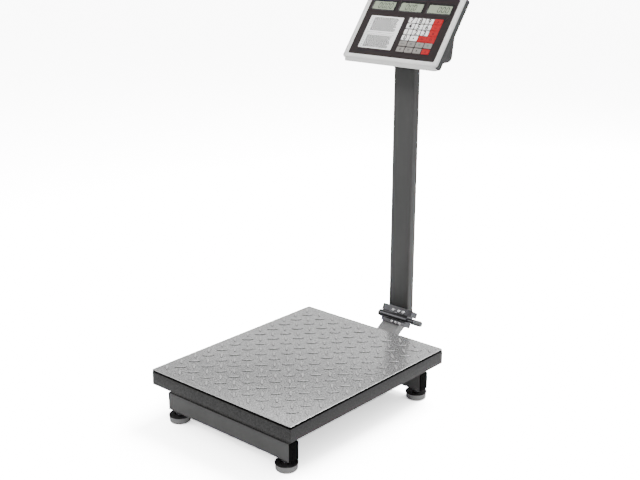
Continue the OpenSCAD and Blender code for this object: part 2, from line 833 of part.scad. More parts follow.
base_frame();
tube_end_caps();
foot_nuts();
load_cell();
load_cell_lower_bolts();
overload_stop_screws();
support_tube();
hinge_lower_bracket();
hinge_lower_bolts();
load_cell_cable();
platform_pan();
platform_frame();
pan_pads();
load_cell_upper_bolts();
foot_front_left();
foot_front_right();
foot_rear_left();
foot_rear_right();
hinge_pin();
clamp_grip();
column_tube();
hinge_upper_bracket();
hinge_upper_bolts();
column_collar();
head_bracket();
tilt_bolt();
tilt_knob();
head_bezel();
head_rear_housing();
face_panel();
instruction_card();
display_windows();
main_board();
battery();
housing_screws();
key_0();
key_1();
key_2();
key_3();
key_4();
key_5();
key_6();
key_7();
key_8();
key_9();
key_point();
key_red_1();
key_red_2();
key_red_3();
key_red_4();
key_red_5();
key_red_6();
key_red_7();
key_grey_1();
key_grey_2();
key_grey_3();
key_grey_4();
key_grey_5();
key_grey_6();
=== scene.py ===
"""A platform scale: tread-plate pan over a load cell and tube base, with a hinged rear column
that carries a tilted keypad and display head.

The front faces -Y, the column stands at +Y, left is -X and Z is up. The parts are drawn in
millimetres, with x and y from the platform centre and z from the floor. BASE takes them to metres.
"""
import json
import math
import random

import bmesh
import bpy
from mathutils import Matrix, Vector, noise

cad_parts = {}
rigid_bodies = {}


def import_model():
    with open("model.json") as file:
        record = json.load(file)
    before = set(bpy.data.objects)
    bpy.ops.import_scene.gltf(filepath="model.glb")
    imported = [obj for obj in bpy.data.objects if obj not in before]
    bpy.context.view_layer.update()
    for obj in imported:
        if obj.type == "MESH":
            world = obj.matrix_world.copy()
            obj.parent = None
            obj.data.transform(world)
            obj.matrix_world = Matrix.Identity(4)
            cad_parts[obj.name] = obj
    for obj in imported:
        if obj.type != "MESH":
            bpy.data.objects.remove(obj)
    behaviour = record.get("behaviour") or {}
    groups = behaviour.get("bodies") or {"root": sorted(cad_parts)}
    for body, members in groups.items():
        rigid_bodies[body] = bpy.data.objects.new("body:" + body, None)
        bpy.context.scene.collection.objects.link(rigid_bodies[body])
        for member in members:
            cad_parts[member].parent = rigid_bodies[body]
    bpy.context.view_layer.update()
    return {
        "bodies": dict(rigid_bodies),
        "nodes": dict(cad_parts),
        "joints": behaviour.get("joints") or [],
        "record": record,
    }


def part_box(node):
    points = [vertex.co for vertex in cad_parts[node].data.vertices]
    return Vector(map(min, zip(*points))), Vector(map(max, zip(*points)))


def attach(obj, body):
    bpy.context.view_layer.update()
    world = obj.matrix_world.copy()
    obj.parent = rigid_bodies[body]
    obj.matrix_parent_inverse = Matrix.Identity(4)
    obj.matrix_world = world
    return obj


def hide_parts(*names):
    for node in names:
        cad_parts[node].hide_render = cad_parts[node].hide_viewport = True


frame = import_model()
nodes = frame["nodes"]
card_random = random.Random(4)

# ---------------------------------------------------------------- dimensions, mm and degrees

MM = 0.001
PAN_WIDTH, PAN_DEPTH, PAN_TOP = 400.0, 500.0, 118.8

CROSS_Y, CROSS_Z = 214, 44                  # centre lines of the two cross tubes
CROSS_WIDTH, CROSS_HEIGHT, CROSS_HALF = 25, 40, 174
CROSS_TOP, CROSS_BOTTOM = CROSS_Z + CROSS_HEIGHT / 2, CROSS_Z - CROSS_HEIGHT / 2
CROSS_FACE_Y = CROSS_Y + CROSS_WIDTH / 2
BEAM_Z, BEAM_WIDTH, BEAM_HEIGHT, BEAM_HALF = 45, 50, 30, 201.4
PAD_Y, PAD_DEPTH = -48, 36                  # raised pad under the load cell
CELL_BOLT_HALF = 8                          # half the spacing of each pair of cell screws
FOOT_X = 156

HINGE_Y, HINGE_Z, HINGE_TILT = 325, 123.0, 29
COLUMN_Y = 358.5

FACE_Y, FACE_Z, FACE_TILT = 292, 740.3, 53  # lower edge of the keypad face
HEAD_UNDER_Z = FACE_Z - 18.3
HEAD_SCREWS = [(x, v) for x in (-118, 118) for v in (3, 155)]
KNUCKLE_Y, KNUCKLE_Z = 370, 765             # axis on which the head tilts

KEY_X, KEY_V = 18.8, 22.0                   # centre of the lowest, leftmost key
KEY_PITCH_X, KEY_PITCH_V = 22.5, 14.8


def shift(x, y, z):
    return Matrix.Translation((x, y, z))


def turn(degrees, axis):
    return Matrix.Rotation(math.radians(degrees), 4, axis)


pan_low, pan_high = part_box("platform_pan")
PLATFORM_Y = (pan_low.y + pan_high.y) / 2.0
BASE = shift(0, PLATFORM_Y, 0) @ Matrix.Scale(MM, 4)
# Head frames: x across, y (called v) up the tilted face, z out of it.
HEAD_MM = shift(0, FACE_Y, FACE_Z) @ turn(FACE_TILT, "X")
HEAD = BASE @ shift(0, FACE_Y, FACE_Z) @ turn(FACE_TILT, "X")
HINGE = BASE @ shift(0, HINGE_Y, HINGE_Z) @ turn(-HINGE_TILT, "X")
ALONG_X = Matrix(((0, 0, 1, 0), (1, 0, 0, 0), (0, 1, 0, 0), (0, 0, 0, 1)))    # local z -> X
ALONG_Y = Matrix(((1, 0, 0, 0), (0, 0, 1, 0), (0, 1, 0, 0), (0, 0, 0, 1)))    # local z -> Y
TO_FRONT = Matrix(((1, 0, 0, 0), (0, 0, -1, 0), (0, 1, 0, 0), (0, 0, 0, 1)))  # local z -> -Y
KNUCKLE = shift(0, KNUCKLE_Y, KNUCKLE_Z) @ ALONG_X


# ---------------------------------------------------------------- node graphs

def srgb(value):
    value = value / 255.0
    return value / 12.92 if value <= 0.04045 else ((value + 0.055) / 1.055) ** 2.4


def rgb(red, green=None, blue=None):
    """Linear colour from 0-255 values; one value alone is a grey."""
    green = red if green is None else green
    blue = red if blue is None else blue
    return (srgb(red), srgb(green), srgb(blue), 1.0)


def grey(value):
    return (value, value, value, 1)


def shade(colour, factor):
    return (*[min(channel * factor, 1) for channel in colour[:3]], 1.0)


class Graph:
    """Adds nodes to a shader tree; an input takes a plain value or another node's output."""

    def __init__(self, tree):
        self.tree = tree

    def feed(self, socket, value):
        if isinstance(value, bpy.types.NodeSocket):
            self.tree.links.new(value, socket)
        else:
            socket.default_value = value

    def node(self, kind, inputs=(), **settings):
        node = self.tree.nodes.new(kind)
        for name, value in settings.items():
            setattr(node, name, value)
        for name, value in dict(inputs).items():
            self.feed(node.inputs[name], value)
        return node

    def ramp(self, fac, stops):
        """stops: (position, colour), in rising order."""
        node = self.node("ShaderNodeValToRGB", {"Fac": fac})
        elements = node.color_ramp.elements
        elements[0].position, elements[0].color = stops[0]
        elements[1].position, elements[1].color = stops[-1]
        for position, colour in stops[1:-1]:
            elements.new(position).color = colour
        return node.outputs["Color"]

    def mix_shaders(self, fac, first, second):
        return self.node("ShaderNodeMixShader", {0: fac, 1: first, 2: second}).outputs[0]


class Material(Graph):
    """A Principled material whose textures all run from object coordinates."""

    INPUTS = {"colour": "Base Color", "rough": "Roughness", "metal": "Metallic",
              "coat": "Coat Weight", "coat_rough": "Coat Roughness", "spec": "Specular IOR Level"}

    def __init__(self, name):
        self.material = bpy.data.materials.new(name)
        self.material.use_nodes = True
        super().__init__(self.material.node_tree)
        self.shader = self.tree.nodes["Principled BSDF"]
        self.coords = self.node("ShaderNodeTexCoord").outputs["Object"]
        self.normal = None

    def noise(self, scale, detail=4.0, rough=0.55, stretch=None):
        coords = self.coords
        if stretch:
            mapping = self.node("ShaderNodeMapping", {"Vector": coords, "Scale": stretch})
            coords = mapping.outputs["Vector"]
        return self.node("ShaderNodeTexNoise", {
            "Vector": coords, "Scale": scale, "Detail": detail, "Roughness": rough}).outputs["Fac"]

    def cells(self, scale):
        return self.node("ShaderNodeTexVoronoi",
                         {"Vector": self.coords, "Scale": scale}).outputs["Distance"]

    def remap(self, value, source, target):
        return self.node("ShaderNodeMapRange", {
            "Value": value, "From Min": source[0], "From Max": source[1],
            "To Min": target[0], "To Max": target[1]}).outputs["Result"]

    def mix(self, fac, first, second, mode="MIX"):
        return self.node("ShaderNodeMix", {"Factor": fac, 6: first, 7: second},
                         data_type="RGBA", blend_type=mode).outputs[2]

    def bump(self, height, strength, distance):
        inputs = {"Height": height, "Strength": strength, "Distance": distance}
        if self.normal is not None:
            inputs["Normal"] = self.normal
        self.normal = self.node("ShaderNodeBump", inputs).outputs["Normal"]

    def edges(self, radius):
        """0 on flats, towards 1 on edges."""
        bevel = self.node("ShaderNodeBevel", {"Radius": radius}, samples=4)
        geometry = self.node("ShaderNodeNewGeometry")
        dot = self.node("ShaderNodeVectorMath", {
            0: bevel.outputs["Normal"], 1: geometry.outputs["Normal"]}, operation="DOT_PRODUCT")
        return self.remap(dot.outputs["Value"], source=(0.97, 0.72), target=(0.0, 1.0))

    def tone(self, fac, colour, dark, light):
        """Drift between a darker and a lighter version of a colour."""
        return self.ramp(fac, [(0.3, shade(colour, dark)), (0.7, shade(colour, light))])

    def worn(self, colour, bare, amount, radius, scale, patches):
        """Show a bare colour on the edges, in patches."""
        edges = self.edges(radius)
        patch = self.remap(self.noise(scale, detail=4), source=patches, target=(0.0, amount))
        both = self.node("ShaderNodeMath", {0: edges, 1: patch}, operation="MULTIPLY")
        return self.mix(both.outputs[0], colour, bare)

    def vary(self, span, scale, detail=4):
        """Noise spread over a span of values."""
        return self.remap(self.noise(scale, detail), source=(0.3, 0.7), target=span)

    def set(self, **values):
        for name, value in values.items():
            self.feed(self.shader.inputs[self.INPUTS[name]], value)

    def done(self):
        if self.normal is not None:
            self.feed(self.shader.inputs["Normal"], self.normal)
        return self.material


# ---------------------------------------------------------------- finishes

def hammertone(name, base, wear, grain=1.0, rough=(0.30, 0.46), metal=0.25, coat=0.0,
               contrast=0.45, coarse=0.0, coat_rough=0.16):
    mat = Material(name)
    cells = mat.cells(scale=620)
    fine = mat.noise(scale=2600, detail=3, rough=0.7)
    broad = mat.tone(mat.noise(scale=9, detail=5, rough=0.6), base, dark=0.88, light=1.12)
    speck = mat.ramp(mat.noise(scale=1500, detail=2, rough=0.8),
                     [(0.38, shade(base, 0.62)), (0.52, base), (0.66, shade(base, 1.45))])
    colour = mat.mix(contrast, broad, speck)
    if coarse:
        blotch = mat.ramp(mat.noise(scale=330, detail=3, rough=0.75),
                          [(0.36, grey(1 - coarse)), (0.5, grey(1)), (0.62, grey(1 + coarse))])
        colour = mat.mix(1.0, colour, blotch, mode="MULTIPLY")
    colour = mat.worn(colour, bare=rgb(196, 196, 198), amount=wear, radius=0.0010, scale=160,
                      patches=(0.42, 0.62))
    mat.set(colour=colour, rough=mat.vary(rough, scale=420), metal=metal,
            coat=coat, coat_rough=coat_rough)
    mat.bump(cells, strength=0.22 * grain, distance=0.0006)
    mat.bump(fine, strength=0.25 * grain, distance=0.0002)
    return mat.done()


def paint(name, base, rough, wear, metal=0.0, grain=0.5):
    mat = Material(name)
    broad = mat.noise(scale=14, detail=5, rough=0.6, stretch=(1, 1, 0.35))
    colour = mat.tone(broad, base, dark=0.9, light=1.1)
    dust = mat.remap(mat.noise(scale=900, detail=3, rough=0.7),
                     source=(0.55, 0.75), target=(0.0, 0.10))
    colour = mat.mix(dust, colour, shade(base, 1.7))
    colour = mat.worn(colour, bare=rgb(180, 180, 182), amount=wear, radius=0.0008, scale=220,
                      patches=(0.45, 0.65))
    mat.set(colour=colour, rough=mat.vary(rough, scale=300), metal=metal)
    mat.bump(mat.noise(scale=650, detail=2, rough=0.5), strength=0.18 * grain, distance=0.0004)
    mat.bump(mat.noise(scale=2400, detail=2, rough=0.6), strength=0.12 * grain, distance=0.0001)
    return mat.done()


def bright(name, base, rough, scratch=0.10):
    mat = Material(name)
    colour = mat.tone(mat.noise(scale=60, detail=4, rough=0.6), base, dark=0.82, light=1.08)
    grime = mat.remap(mat.noise(scale=240, detail=5, rough=0.65),
                      source=(0.52, 0.72), target=(0.0, 0.35))
    colour = mat.mix(grime, colour, shade(base, 0.55))
    mat.set(colour=colour, rough=mat.vary(rough, scale=380), metal=1.0)
    mat.bump(mat.noise(scale=180, detail=3, rough=0.6, stretch=(30, 1, 30)),
             strength=scratch, distance=0.0002)
    return mat.done()


def plastic(name, base, rough, grain, scale=1400, var=0.05, wear=0.0, spec=0.5):
    mat = Material(name)
    colour = mat.tone(mat.noise(scale=12, detail=4, rough=0.6), base, 1 - var, 1 + var)
    speck = mat.remap(mat.noise(scale * 1.3, detail=2, rough=0.7),
                      source=(0.4, 0.7), target=(0.0, 0.12))
    colour = mat.mix(speck, colour, shade(base, 0.8))
    if wear:
        colour = mat.worn(colour, bare=shade(base, 1.6), amount=wear, radius=0.0008, scale=260,
                          patches=(0.4, 0.65))
    mat.set(colour=colour, rough=mat.vary(rough, scale=500, detail=3), spec=spec)
    mat.bump(mat.cells(scale), strength=grain * 0.35, distance=0.0002)
    mat.bump(mat.noise(scale * 2, detail=2, rough=0.6), strength=grain * 0.5, distance=0.0001)
    return mat.done()


def film(name, base, rough, var=0.06, coat=0.3):
    mat = Material(name)
    colour = mat.tone(mat.noise(scale=40, detail=4, rough=0.6), base, 1 - var, 1 + var)
    mat.set(colour=colour, rough=mat.vary(rough, scale=700, detail=3), coat=coat, coat_rough=0.12)
    mat.bump(mat.noise(scale=1800, detail=2, rough=0.6), strength=0.06, distance=0.0001)
    return mat.done()


# Pan top and rim are lit and shaded copies of one paint: the top's light colour is painted light.
PAN_TOP_PAINTED_LIGHT = hammertone("pan_top_painted_light", rgb(218), wear=0.4, rough=(0.16, 0.3), metal=0.75, coat=0.6,
                 contrast=0.7, grain=0.7, coarse=0.34, coat_rough=0.10)
# Tread crowns: partly worn metal, partly a painted highlight on the lit tops.
TREAD_CROWN_WEAR_AND_HIGHLIGHT = hammertone("tread_crown_worn_painted_highlight", rgb(240), wear=0.7, rough=(0.2, 0.32), metal=0.6, coat=0.6,
                   contrast=0.4)
# Tread flanks: painted shade on the slopes of each lozenge.
TREAD_FLANK_PAINTED_SHADE = hammertone("tread_flank_painted_shade", rgb(52), wear=0.1, metal=0.1, contrast=0.4)
# Rim: painted shade, the pan's own paint made darker for the light falling on its sides.
RIM_PAINTED_SHADE = hammertone("rim_painted_shade", rgb(60), wear=0.35, contrast=0.85, grain=1.6, coarse=0.5)
# Painted shade: a near-black seam under the pan's top edge stands in for the dark bend of the fold.
PAINTED_SHADE_SEAM = plastic("painted_shade_seam", rgb(2), rough=(0.8, 0.95), grain=0.2, spec=0.1)
SUPPORT = hammertone("support_hammertone", rgb(166), wear=0.4, contrast=0.6, coarse=0.18)
TUBE = paint("base_tube_paint", rgb(102), rough=(0.34, 0.46), wear=0.45)
# Painted shade: the near-black under frame stands in for the shade in the gap under the pan.
UNDER_FRAME_PAINTED_SHADE = paint("under_frame_painted_shade", rgb(16), rough=(0.55, 0.7), wear=0.25)
COLUMN = paint("column_charcoal", rgb(77), rough=(0.28, 0.38), wear=0.35, metal=0.2)
BRACKET = paint("bracket_black", rgb(30), rough=(0.45, 0.6), wear=0.5, grain=1.2)
CHROME = bright("hinge_chrome", rgb(104, 104, 107), rough=(0.05, 0.14))
BOLT = bright("bolt_bright", rgb(250, 250, 252), rough=(0.10, 0.2))
ZINC = bright("zinc_plate", rgb(176, 178, 182), rough=(0.26, 0.42))
ALLOY = bright("cell_alloy", rgb(190, 191, 194), rough=(0.3, 0.42))
WELD = bright("weld_bead", rgb(96, 95, 94), rough=(0.35, 0.55), scratch=0.3)
CAP = plastic("end_cap_black", rgb(2), rough=(0.75, 0.9), grain=0.5, wear=0.1, spec=0.15)
RUBBER = plastic("foot_rubber", rgb(34), rough=(0.6, 0.8), grain=0.8, scale=900)
FOOT_RING = plastic("foot_ring_grey", rgb(168), rough=(0.4, 0.55), grain=0.5, scale=900)
GRIP = plastic("grip_grey", rgb(120), rough=(0.5, 0.7), grain=0.8, scale=1000)
SHEATH = plastic("cable_sheath", rgb(24), rough=(0.5, 0.65), grain=0.4)
BEZEL = plastic("bezel_silver", rgb(236, 236, 234), rough=(0.3, 0.42), grain=0.35)
HOUSING = plastic("housing_dark", rgb(62, 62, 63), rough=(0.45, 0.6), grain=0.6, wear=0.15)
PANEL = film("panel_brown", rgb(22, 8, 9), rough=(0.34, 0.46), coat=0.0)
CARD = film("card_white", rgb(255, 255, 253), rough=(0.3, 0.42), coat=0.2, var=0.02)
CARD_INK = film("legend_dark", rgb(6, 5, 6), rough=(0.4, 0.5), coat=0.0)
CARD_INK_SOFT = film("card_ink_soft", rgb(132, 133, 135), rough=(0.25, 0.36))
RED_FILM = film("red_print", rgb(166, 0, 8), rough=(0.4, 0.5), coat=0.0)
WHITE_KEY = plastic("key_white", rgb(255, 255, 252), rough=(0.25, 0.36), grain=0.15, var=0.02)
GREY_KEY = plastic("key_grey", rgb(140, 136, 132), rough=(0.28, 0.4), grain=0.15)
RED_KEY = plastic("key_red", rgb(174, 0, 9), rough=(0.4, 0.5), grain=0.15)
INK = film("legend_dark", rgb(24, 22, 24), rough=(0.3, 0.4))
INK_RED = film("legend_deep_red", rgb(92, 8, 16), rough=(0.3, 0.4))
INK_GREY = film("legend_grey", rgb(52, 50, 50), rough=(0.3, 0.4))
INK_GREEN = film("legend_green", rgb(60, 112, 84), rough=(0.3, 0.4))
BOARD = film("board_green", rgb(20, 84, 44), rough=(0.3, 0.45))
BATTERY = plastic("battery_case", rgb(44, 45, 50), rough=(0.4, 0.55), grain=0.3)
LCD = film("lcd_grey_green", rgb(150, 160, 140), rough=(0.12, 0.2))
LCD_INK = film("lcd_segments", rgb(22, 26, 22), rough=(0.2, 0.3))
WINDOW_RIM = film("window_surround", rgb(18, 16, 17), rough=(0.12, 0.2))


# ---------------------------------------------------------------- outlines

def spaced(start, end, steps):
    return [start + (end - start) * i / steps for i in range(steps + 1)]


def arc(cx, cy, radius, start, end, steps):
    """Points along an arc, both ends included; angles in degrees."""
    angles = [math.radians(degrees) for degrees in spaced(start, end, steps)]
    return [(cx + radius * math.cos(a), cy + radius * math.sin(a)) for a in angles]


def circle(radius, count, cx=0.0, cy=0.0):
    angles = [2 * math.pi * i / count for i in range(count)]
    return [(cx + radius * math.cos(a), cy + radius * math.sin(a)) for a in angles]


def rectangle(x0, y0, x1, y1):
    return [(x0, y0), (x1, y0), (x1, y1), (x0, y1)]


def rounded(width, depth, radius, steps=6, cx=0.0, cy=0.0):
    """Rectangle with rounded corners, anticlockwise."""
    radius = max(min(radius, width / 2 - 1e-4, depth / 2 - 1e-4), 0.02)
    points = []
    for sx, sy, start in ((1, 1, 0), (-1, 1, 90), (-1, -1, 180), (1, -1, 270)):
        points += arc(cx + sx * (width / 2 - radius), cy + sy * (depth / 2 - radius), radius,
                      start, start + 90, steps)
    return points


def lift(outline, z):
    return [(x, y, z) for x, y in outline]


def inset_rings(width, depth, stations, steps=6, cx=0.0, cy=0.0):
    """Rounded rectangles stacked in z; stations: (inset, corner radius, z)."""
    return [lift(rounded(width - 2 * inset, depth - 2 * inset, radius, steps, cx, cy), z)
            for inset, radius, z in stations]


# ---------------------------------------------------------------- mesh building

class Part:
    """Collects points, faces and a material index for each face."""

    def __init__(self):
        self.points, self.faces, self.mats = [], [], []

    def add(self, points, faces, mat=0, frame=None):
        first = len(self.points)
        for p in points:
            self.points.append(tuple(frame @ Vector(p)) if frame is not None else tuple(p))
        self.faces += [[first + k for k in face] for face in faces]
        self.mats += mat if isinstance(mat, list) else [mat] * len(faces)

    def loft(self, rings, mat=0, frame=None, loop=False):
        """Skin a stack of rings, capped at both ends unless it loops round.

        mat is one index, or a list with one for each ring."""
        count = len(rings[0])
        ring_mats = mat if isinstance(mat, list) else [mat] * len(rings)
        faces, mats = [], []
        for i in range(len(rings) if loop else len(rings) - 1):
            a, b = i * count, ((i + 1) % len(rings)) * count
            for j in range(count):
                k = (j + 1) % count
                faces.append([a + j, a + k, b + k, b + j])
                mats.append(ring_mats[i])
        if not loop:
            last = (len(rings) - 1) * count
            faces += [list(range(count))[::-1], [last + j for j in range(count)]]
            mats += [ring_mats[0], ring_mats[-1]]
        self.add([p for ring in rings for p in ring], faces, mats, frame)

    def prism(self, width, depth, radius, z0, z1, bevel, cx=0.0, cy=0.0, steps=3, mat=0,
              frame=None, low_bevel=None):
        """Rounded block from z0 to z1 with rounded rims."""
        low_bevel = bevel if low_bevel is None else low_bevel
        angles = [math.pi / 2 * i / steps for i in range(steps + 1)]
        sections = [(low_bevel * (1 - math.sin(a)), z0 + low_bevel * (1 - math.cos(a)))
                    for a in angles]
        sections += [(bevel * (1 - math.cos(a)), z1 - bevel + bevel * math.sin(a))
                     for a in angles]
        stations = [(inset, max(radius - inset, 0.05), z) for inset, z in sections]
        self.loft(inset_rings(width, depth, stations, cx=cx, cy=cy), mat, frame)

    def lathe(self, profile, steps=48, mat=0, frame=None):
        """Turn a profile of (radius, z) about local z; ends off the axis are capped."""
        points, rows = [], []
        for radius, z in profile:
            ring = lift(circle(radius, steps), z) if radius > 0 else [(0, 0, z)]
            rows.append(range(len(points), len(points) + len(ring)))
            points += ring
        faces = []
        for low, high in zip(rows[:-1], rows[1:]):
            for j in range(steps):
                k = (j + 1) % steps
                if len(low) == 1:
                    faces.append([low[0], high[k], high[j]])
                elif len(high) == 1:
                    faces.append([low[j], low[k], high[0]])
                else:
                    faces.append([low[j], low[k], high[k], high[j]])
        if len(rows[0]) > 1:
            faces.append(list(rows[0])[::-1])
        if len(rows[-1]) > 1:
            faces.append(list(rows[-1]))
        self.add(points, faces, mat, frame)

    def sweep(self, path, radius, steps, mat=0, wobble=0.0):
        """Round bar along a polyline, ends closed."""
        path = [Vector(p) for p in path]
        rings = []
        side = None
        for i, p in enumerate(path):
            along = (path[min(i + 1, len(path) - 1)] - path[max(i - 1, 0)]).normalized()
            if side is None:
                up = Vector((0, 0, 1) if abs(along.z) < 0.9 else (1, 0, 0))
                side = along.cross(up).normalized()
            else:
                side = (side - along * side.dot(along)).normalized()
            other = along.cross(side)
            size = radius * (1 + wobble * noise.noise(p * 0.9))
            rings.append([tuple(p + (side * c + other * s) * size) for c, s in circle(1, steps)])
        self.loft(rings, mat)

    def weld(self, path, radius, steps=10):
        """Uneven bead in the part's second material."""
        self.sweep(path, radius, steps, mat=1, wobble=0.5)

    def threads(self, radius, z0, z1, pitch, frame, depth=0.45, mat=0, steps=32):
        """Threaded rod: a ridge for each whole pitch."""
        root = radius - depth
        profile = [(0, z0), (root, z0)]
        for i in range(int((z1 - z0) / pitch)):
            z = z0 + i * pitch
            profile += [(radius, z + pitch * 0.38), (radius, z + pitch * 0.62), (root, z + pitch)]
        self.lathe(profile + [(root, z1), (0, z1)], steps, mat, frame)

    def nut(self, corner_radius, bore, z0, z1, frame, chamfer=0.5, count=36):
        """Hexagon nut with a chamfered bore."""
        apothem = corner_radius * math.cos(math.radians(30))

        def outer(z, inset):
            ring = []
            for j in range(count):
                a = 2 * math.pi * j / count
                flat = (a % (math.pi / 3)) - math.pi / 6
                size = min(apothem / math.cos(flat), corner_radius - inset)
                ring.append((size * math.cos(a), size * math.sin(a), z))
            return ring

        inner = [(bore + 0.4, z1), (bore, z1 - 0.4), (bore, z0 + 0.4), (bore + 0.4, z0)]
        self.loft([outer(z0, chamfer * 1.6), outer(z0 + chamfer, 0.0), outer(z1 - chamfer, 0.0),
                   outer(z1, chamfer * 1.6)] + [lift(circle(r, count), z) for r, z in inner],
                  frame=frame, loop=True)

    def plate(self, outline, z, mat, thick=0.05):
        """Thin flat shape with its top at z."""
        count = len(outline)
        sides = [[i, (i + 1) % count, count + (i + 1) % count, count + i] for i in range(count)]
        self.add(lift(outline, z - thick) + lift(outline, z),
                 [list(range(count))[::-1], list(range(count, 2 * count))] + sides, mat)

    def bar(self, x0, y0, x1, y1, z, mat):
        self.plate(rectangle(x0, y0, x1, y1), z, mat)


def add_object(name, data):
    made = bpy.data.objects.new(name, data)
    bpy.context.scene.collection.objects.link(made)
    return made


def smooth(mesh, angle):
    for polygon in mesh.polygons:
        polygon.use_smooth = True
    mesh.set_sharp_from_angle(angle=math.radians(angle))


def register(made, body, cad):
    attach(made, body)
    if cad:
        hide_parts(cad)


def build(part, name, body, materials, cad=None, frame=BASE, angle=32.0):
    """Make an object of a Part; cad is the CAD node it stands for."""
    mesh = bpy.data.meshes.new(name)
    mesh.from_pydata([tuple(frame @ Vector(p)) for p in part.points], [], part.faces)
    for material in materials:
        mesh.materials.append(material)
    for polygon, mat in zip(mesh.polygons, part.mats):
        polygon.material_index = mat
    bm = bmesh.new()
    bm.from_mesh(mesh)
    bmesh.ops.recalc_face_normals(bm, faces=bm.faces[:])
    bm.to_mesh(mesh)
    bm.free()
    smooth(mesh, angle)
    register(add_object(name, mesh), body, cad)


def from_cad(cad, name, body, material, bevel=None, segments=2):
    """A clean copy of a CAD node's shape, its edges rounded by bevel mm."""
    bm = bmesh.new()
    bm.from_mesh(nodes[cad].data)
    bmesh.ops.remove_doubles(bm, verts=bm.verts[:], dist=2e-6)
    bmesh.ops.dissolve_limit(bm, angle_limit=math.radians(0.6), verts=bm.verts[:],
                             edges=bm.edges[:], use_dissolve_boundaries=False)
    bmesh.ops.recalc_face_normals(bm, faces=bm.faces[:])
    mesh = bpy.data.meshes.new(name)
    bm.to_mesh(mesh)
    bm.free()
    for polygon in mesh.polygons:
        polygon.material_index = 0
    smooth(mesh, angle=30.0)
    mesh.materials.append(material)
    made = add_object(name, mesh)
    if bevel:
        edge = made.modifiers.new("edge", "BEVEL")
        edge.width = bevel * MM
        edge.segments = segments
        edge.limit_method = "ANGLE"
        edge.angle_limit = math.radians(34)
        edge.harden_normals = True
    register(made, body, cad)


# ---------------------------------------------------------------- platform

# (inset, z, corner radius, material) up the outside of the pan: 0 pan top in painted light, 1 rim
# in painted shade, 2 seam in painted shade
PAN_STATIONS = [
    (2.0, 116.6, 1.0, 1), (2.0, 85.3, 1.0, 1), (1.6, 84.6, 1.2, 1), (0.9, 84.5, 1.7, 1),
    (0.25, 84.8, 2.2, 1), (0.0, 85.6, 2.5, 1), (0.0, 112.6, 2.5, 1), (0.25, 113.1, 2.4, 2),
    (0.9, 113.3, 1.9, 2), (0.9, 117.7, 1.9, 2), (0.3, 117.9, 2.3, 0), (0.1, 118.15, 2.4, 0),
    (0.2, 118.45, 2.3, 0), (0.6, 118.7, 2.0, 0), (1.2, PAN_TOP, 1.6, 0),
]
TREAD_SPACING, TREAD_MARGIN = 28.6, 12
TREAD_LENGTH, TREAD_WIDTH, TREAD_HEIGHT = 26.0, 6.4, 1.2


def tread_bar(part, x, y, degrees):
    """One raised lozenge of the tread pattern: flanks in painted shade, then crown, partly wear and
    partly painted highlight.
    """
    half = [(t * TREAD_LENGTH / 2, TREAD_WIDTH / 2 * max(1 - t * t, 0.0) ** 0.75)
            for t in spaced(-1, 1, 8)]
    outline = half + [(px, -py) for px, py in half[-2:0:-1]]
    rings = []
    for z, inset in ((-0.4, 0.0), (0.1, 0.0), (0.55 * TREAD_HEIGHT, 0.22),
                     (TREAD_HEIGHT * 0.86, 0.55), (TREAD_HEIGHT * 0.97, 0.95),
                     (TREAD_HEIGHT, 1.5)):
        scale_x = (TREAD_LENGTH / 2 - inset * 1.9) / (TREAD_LENGTH / 2)
        scale_y = (TREAD_WIDTH / 2 - inset) / (TREAD_WIDTH / 2)
        rings.append([(px * scale_x, py * scale_y, z) for px, py in outline])
    part.loft(rings, [4, 4, 4, 3, 3, 3], shift(x, y, PAN_TOP) @ turn(degrees, "Z"))


def tread_pan():
    part = Part()
    stations = [(inset, radius, z) for inset, z, radius, _ in PAN_STATIONS]
    part.loft(inset_rings(PAN_WIDTH, PAN_DEPTH, stations, steps=8),
              [station[3] for station in PAN_STATIONS])
    step = TREAD_SPACING * math.sin(math.radians(45))
    for i in range(-12, 13):
        for j in range(-12, 13):
            x, y = (i + j) * step, (i - j) * step
            if (abs(x) < PAN_WIDTH / 2 - TREAD_MARGIN
                    and abs(y) < PAN_DEPTH / 2 - TREAD_MARGIN):
                tread_bar(part, x, y, 45 if (i + j) % 2 == 0 else -45)
    build(part, "platform_tread_pan", "platform", [PAN_TOP_PAINTED_LIGHT, RIM_PAINTED_SHADE, PAINTED_SHADE_SEAM, TREAD_CROWN_WEAR_AND_HIGHLIGHT, TREAD_FLANK_PAINTED_SHADE],
          "platform_pan", angle=40)


def pan_pads():
    part = Part()
    for x in (-160, 160):
        for y in (-210, 210):
            part.lathe([(0, 0), (7.2, 0), (8, 0.6), (8, 2.4), (7.4, 3), (0, 3)], 32,
                       frame=shift(x, y, 113.8))
    build(part, "pan_rubber_pads", "platform", [RUBBER], "pan_pads")


def cell_upper_screws():
    part = Part()
    for y in (46 - CELL_BOLT_HALF, 46 + CELL_BOLT_HALF):
        part.lathe([(0, 104.8), (6.1, 104.8), (6.5, 105.2), (6.5, 111.2), (6.0, 111.8),
                    (3.4, 111.8), (3.2, 108.6), (0, 108.6)], 36, frame=shift(0, y, 0))
        part.threads(4.0, 76, 104.8, pitch=1.25, frame=shift(0, y, 0))
    build(part, "cell_upper_screws", "platform", [ZINC], "load_cell_upper_bolts")


def platform():
    tread_pan()
    from_cad("platform_frame", "platform_under_frame", "platform", UNDER_FRAME_PAINTED_SHADE,
             bevel=0.8)
    pan_pads()
    cell_upper_screws()


# ---------------------------------------------------------------- base

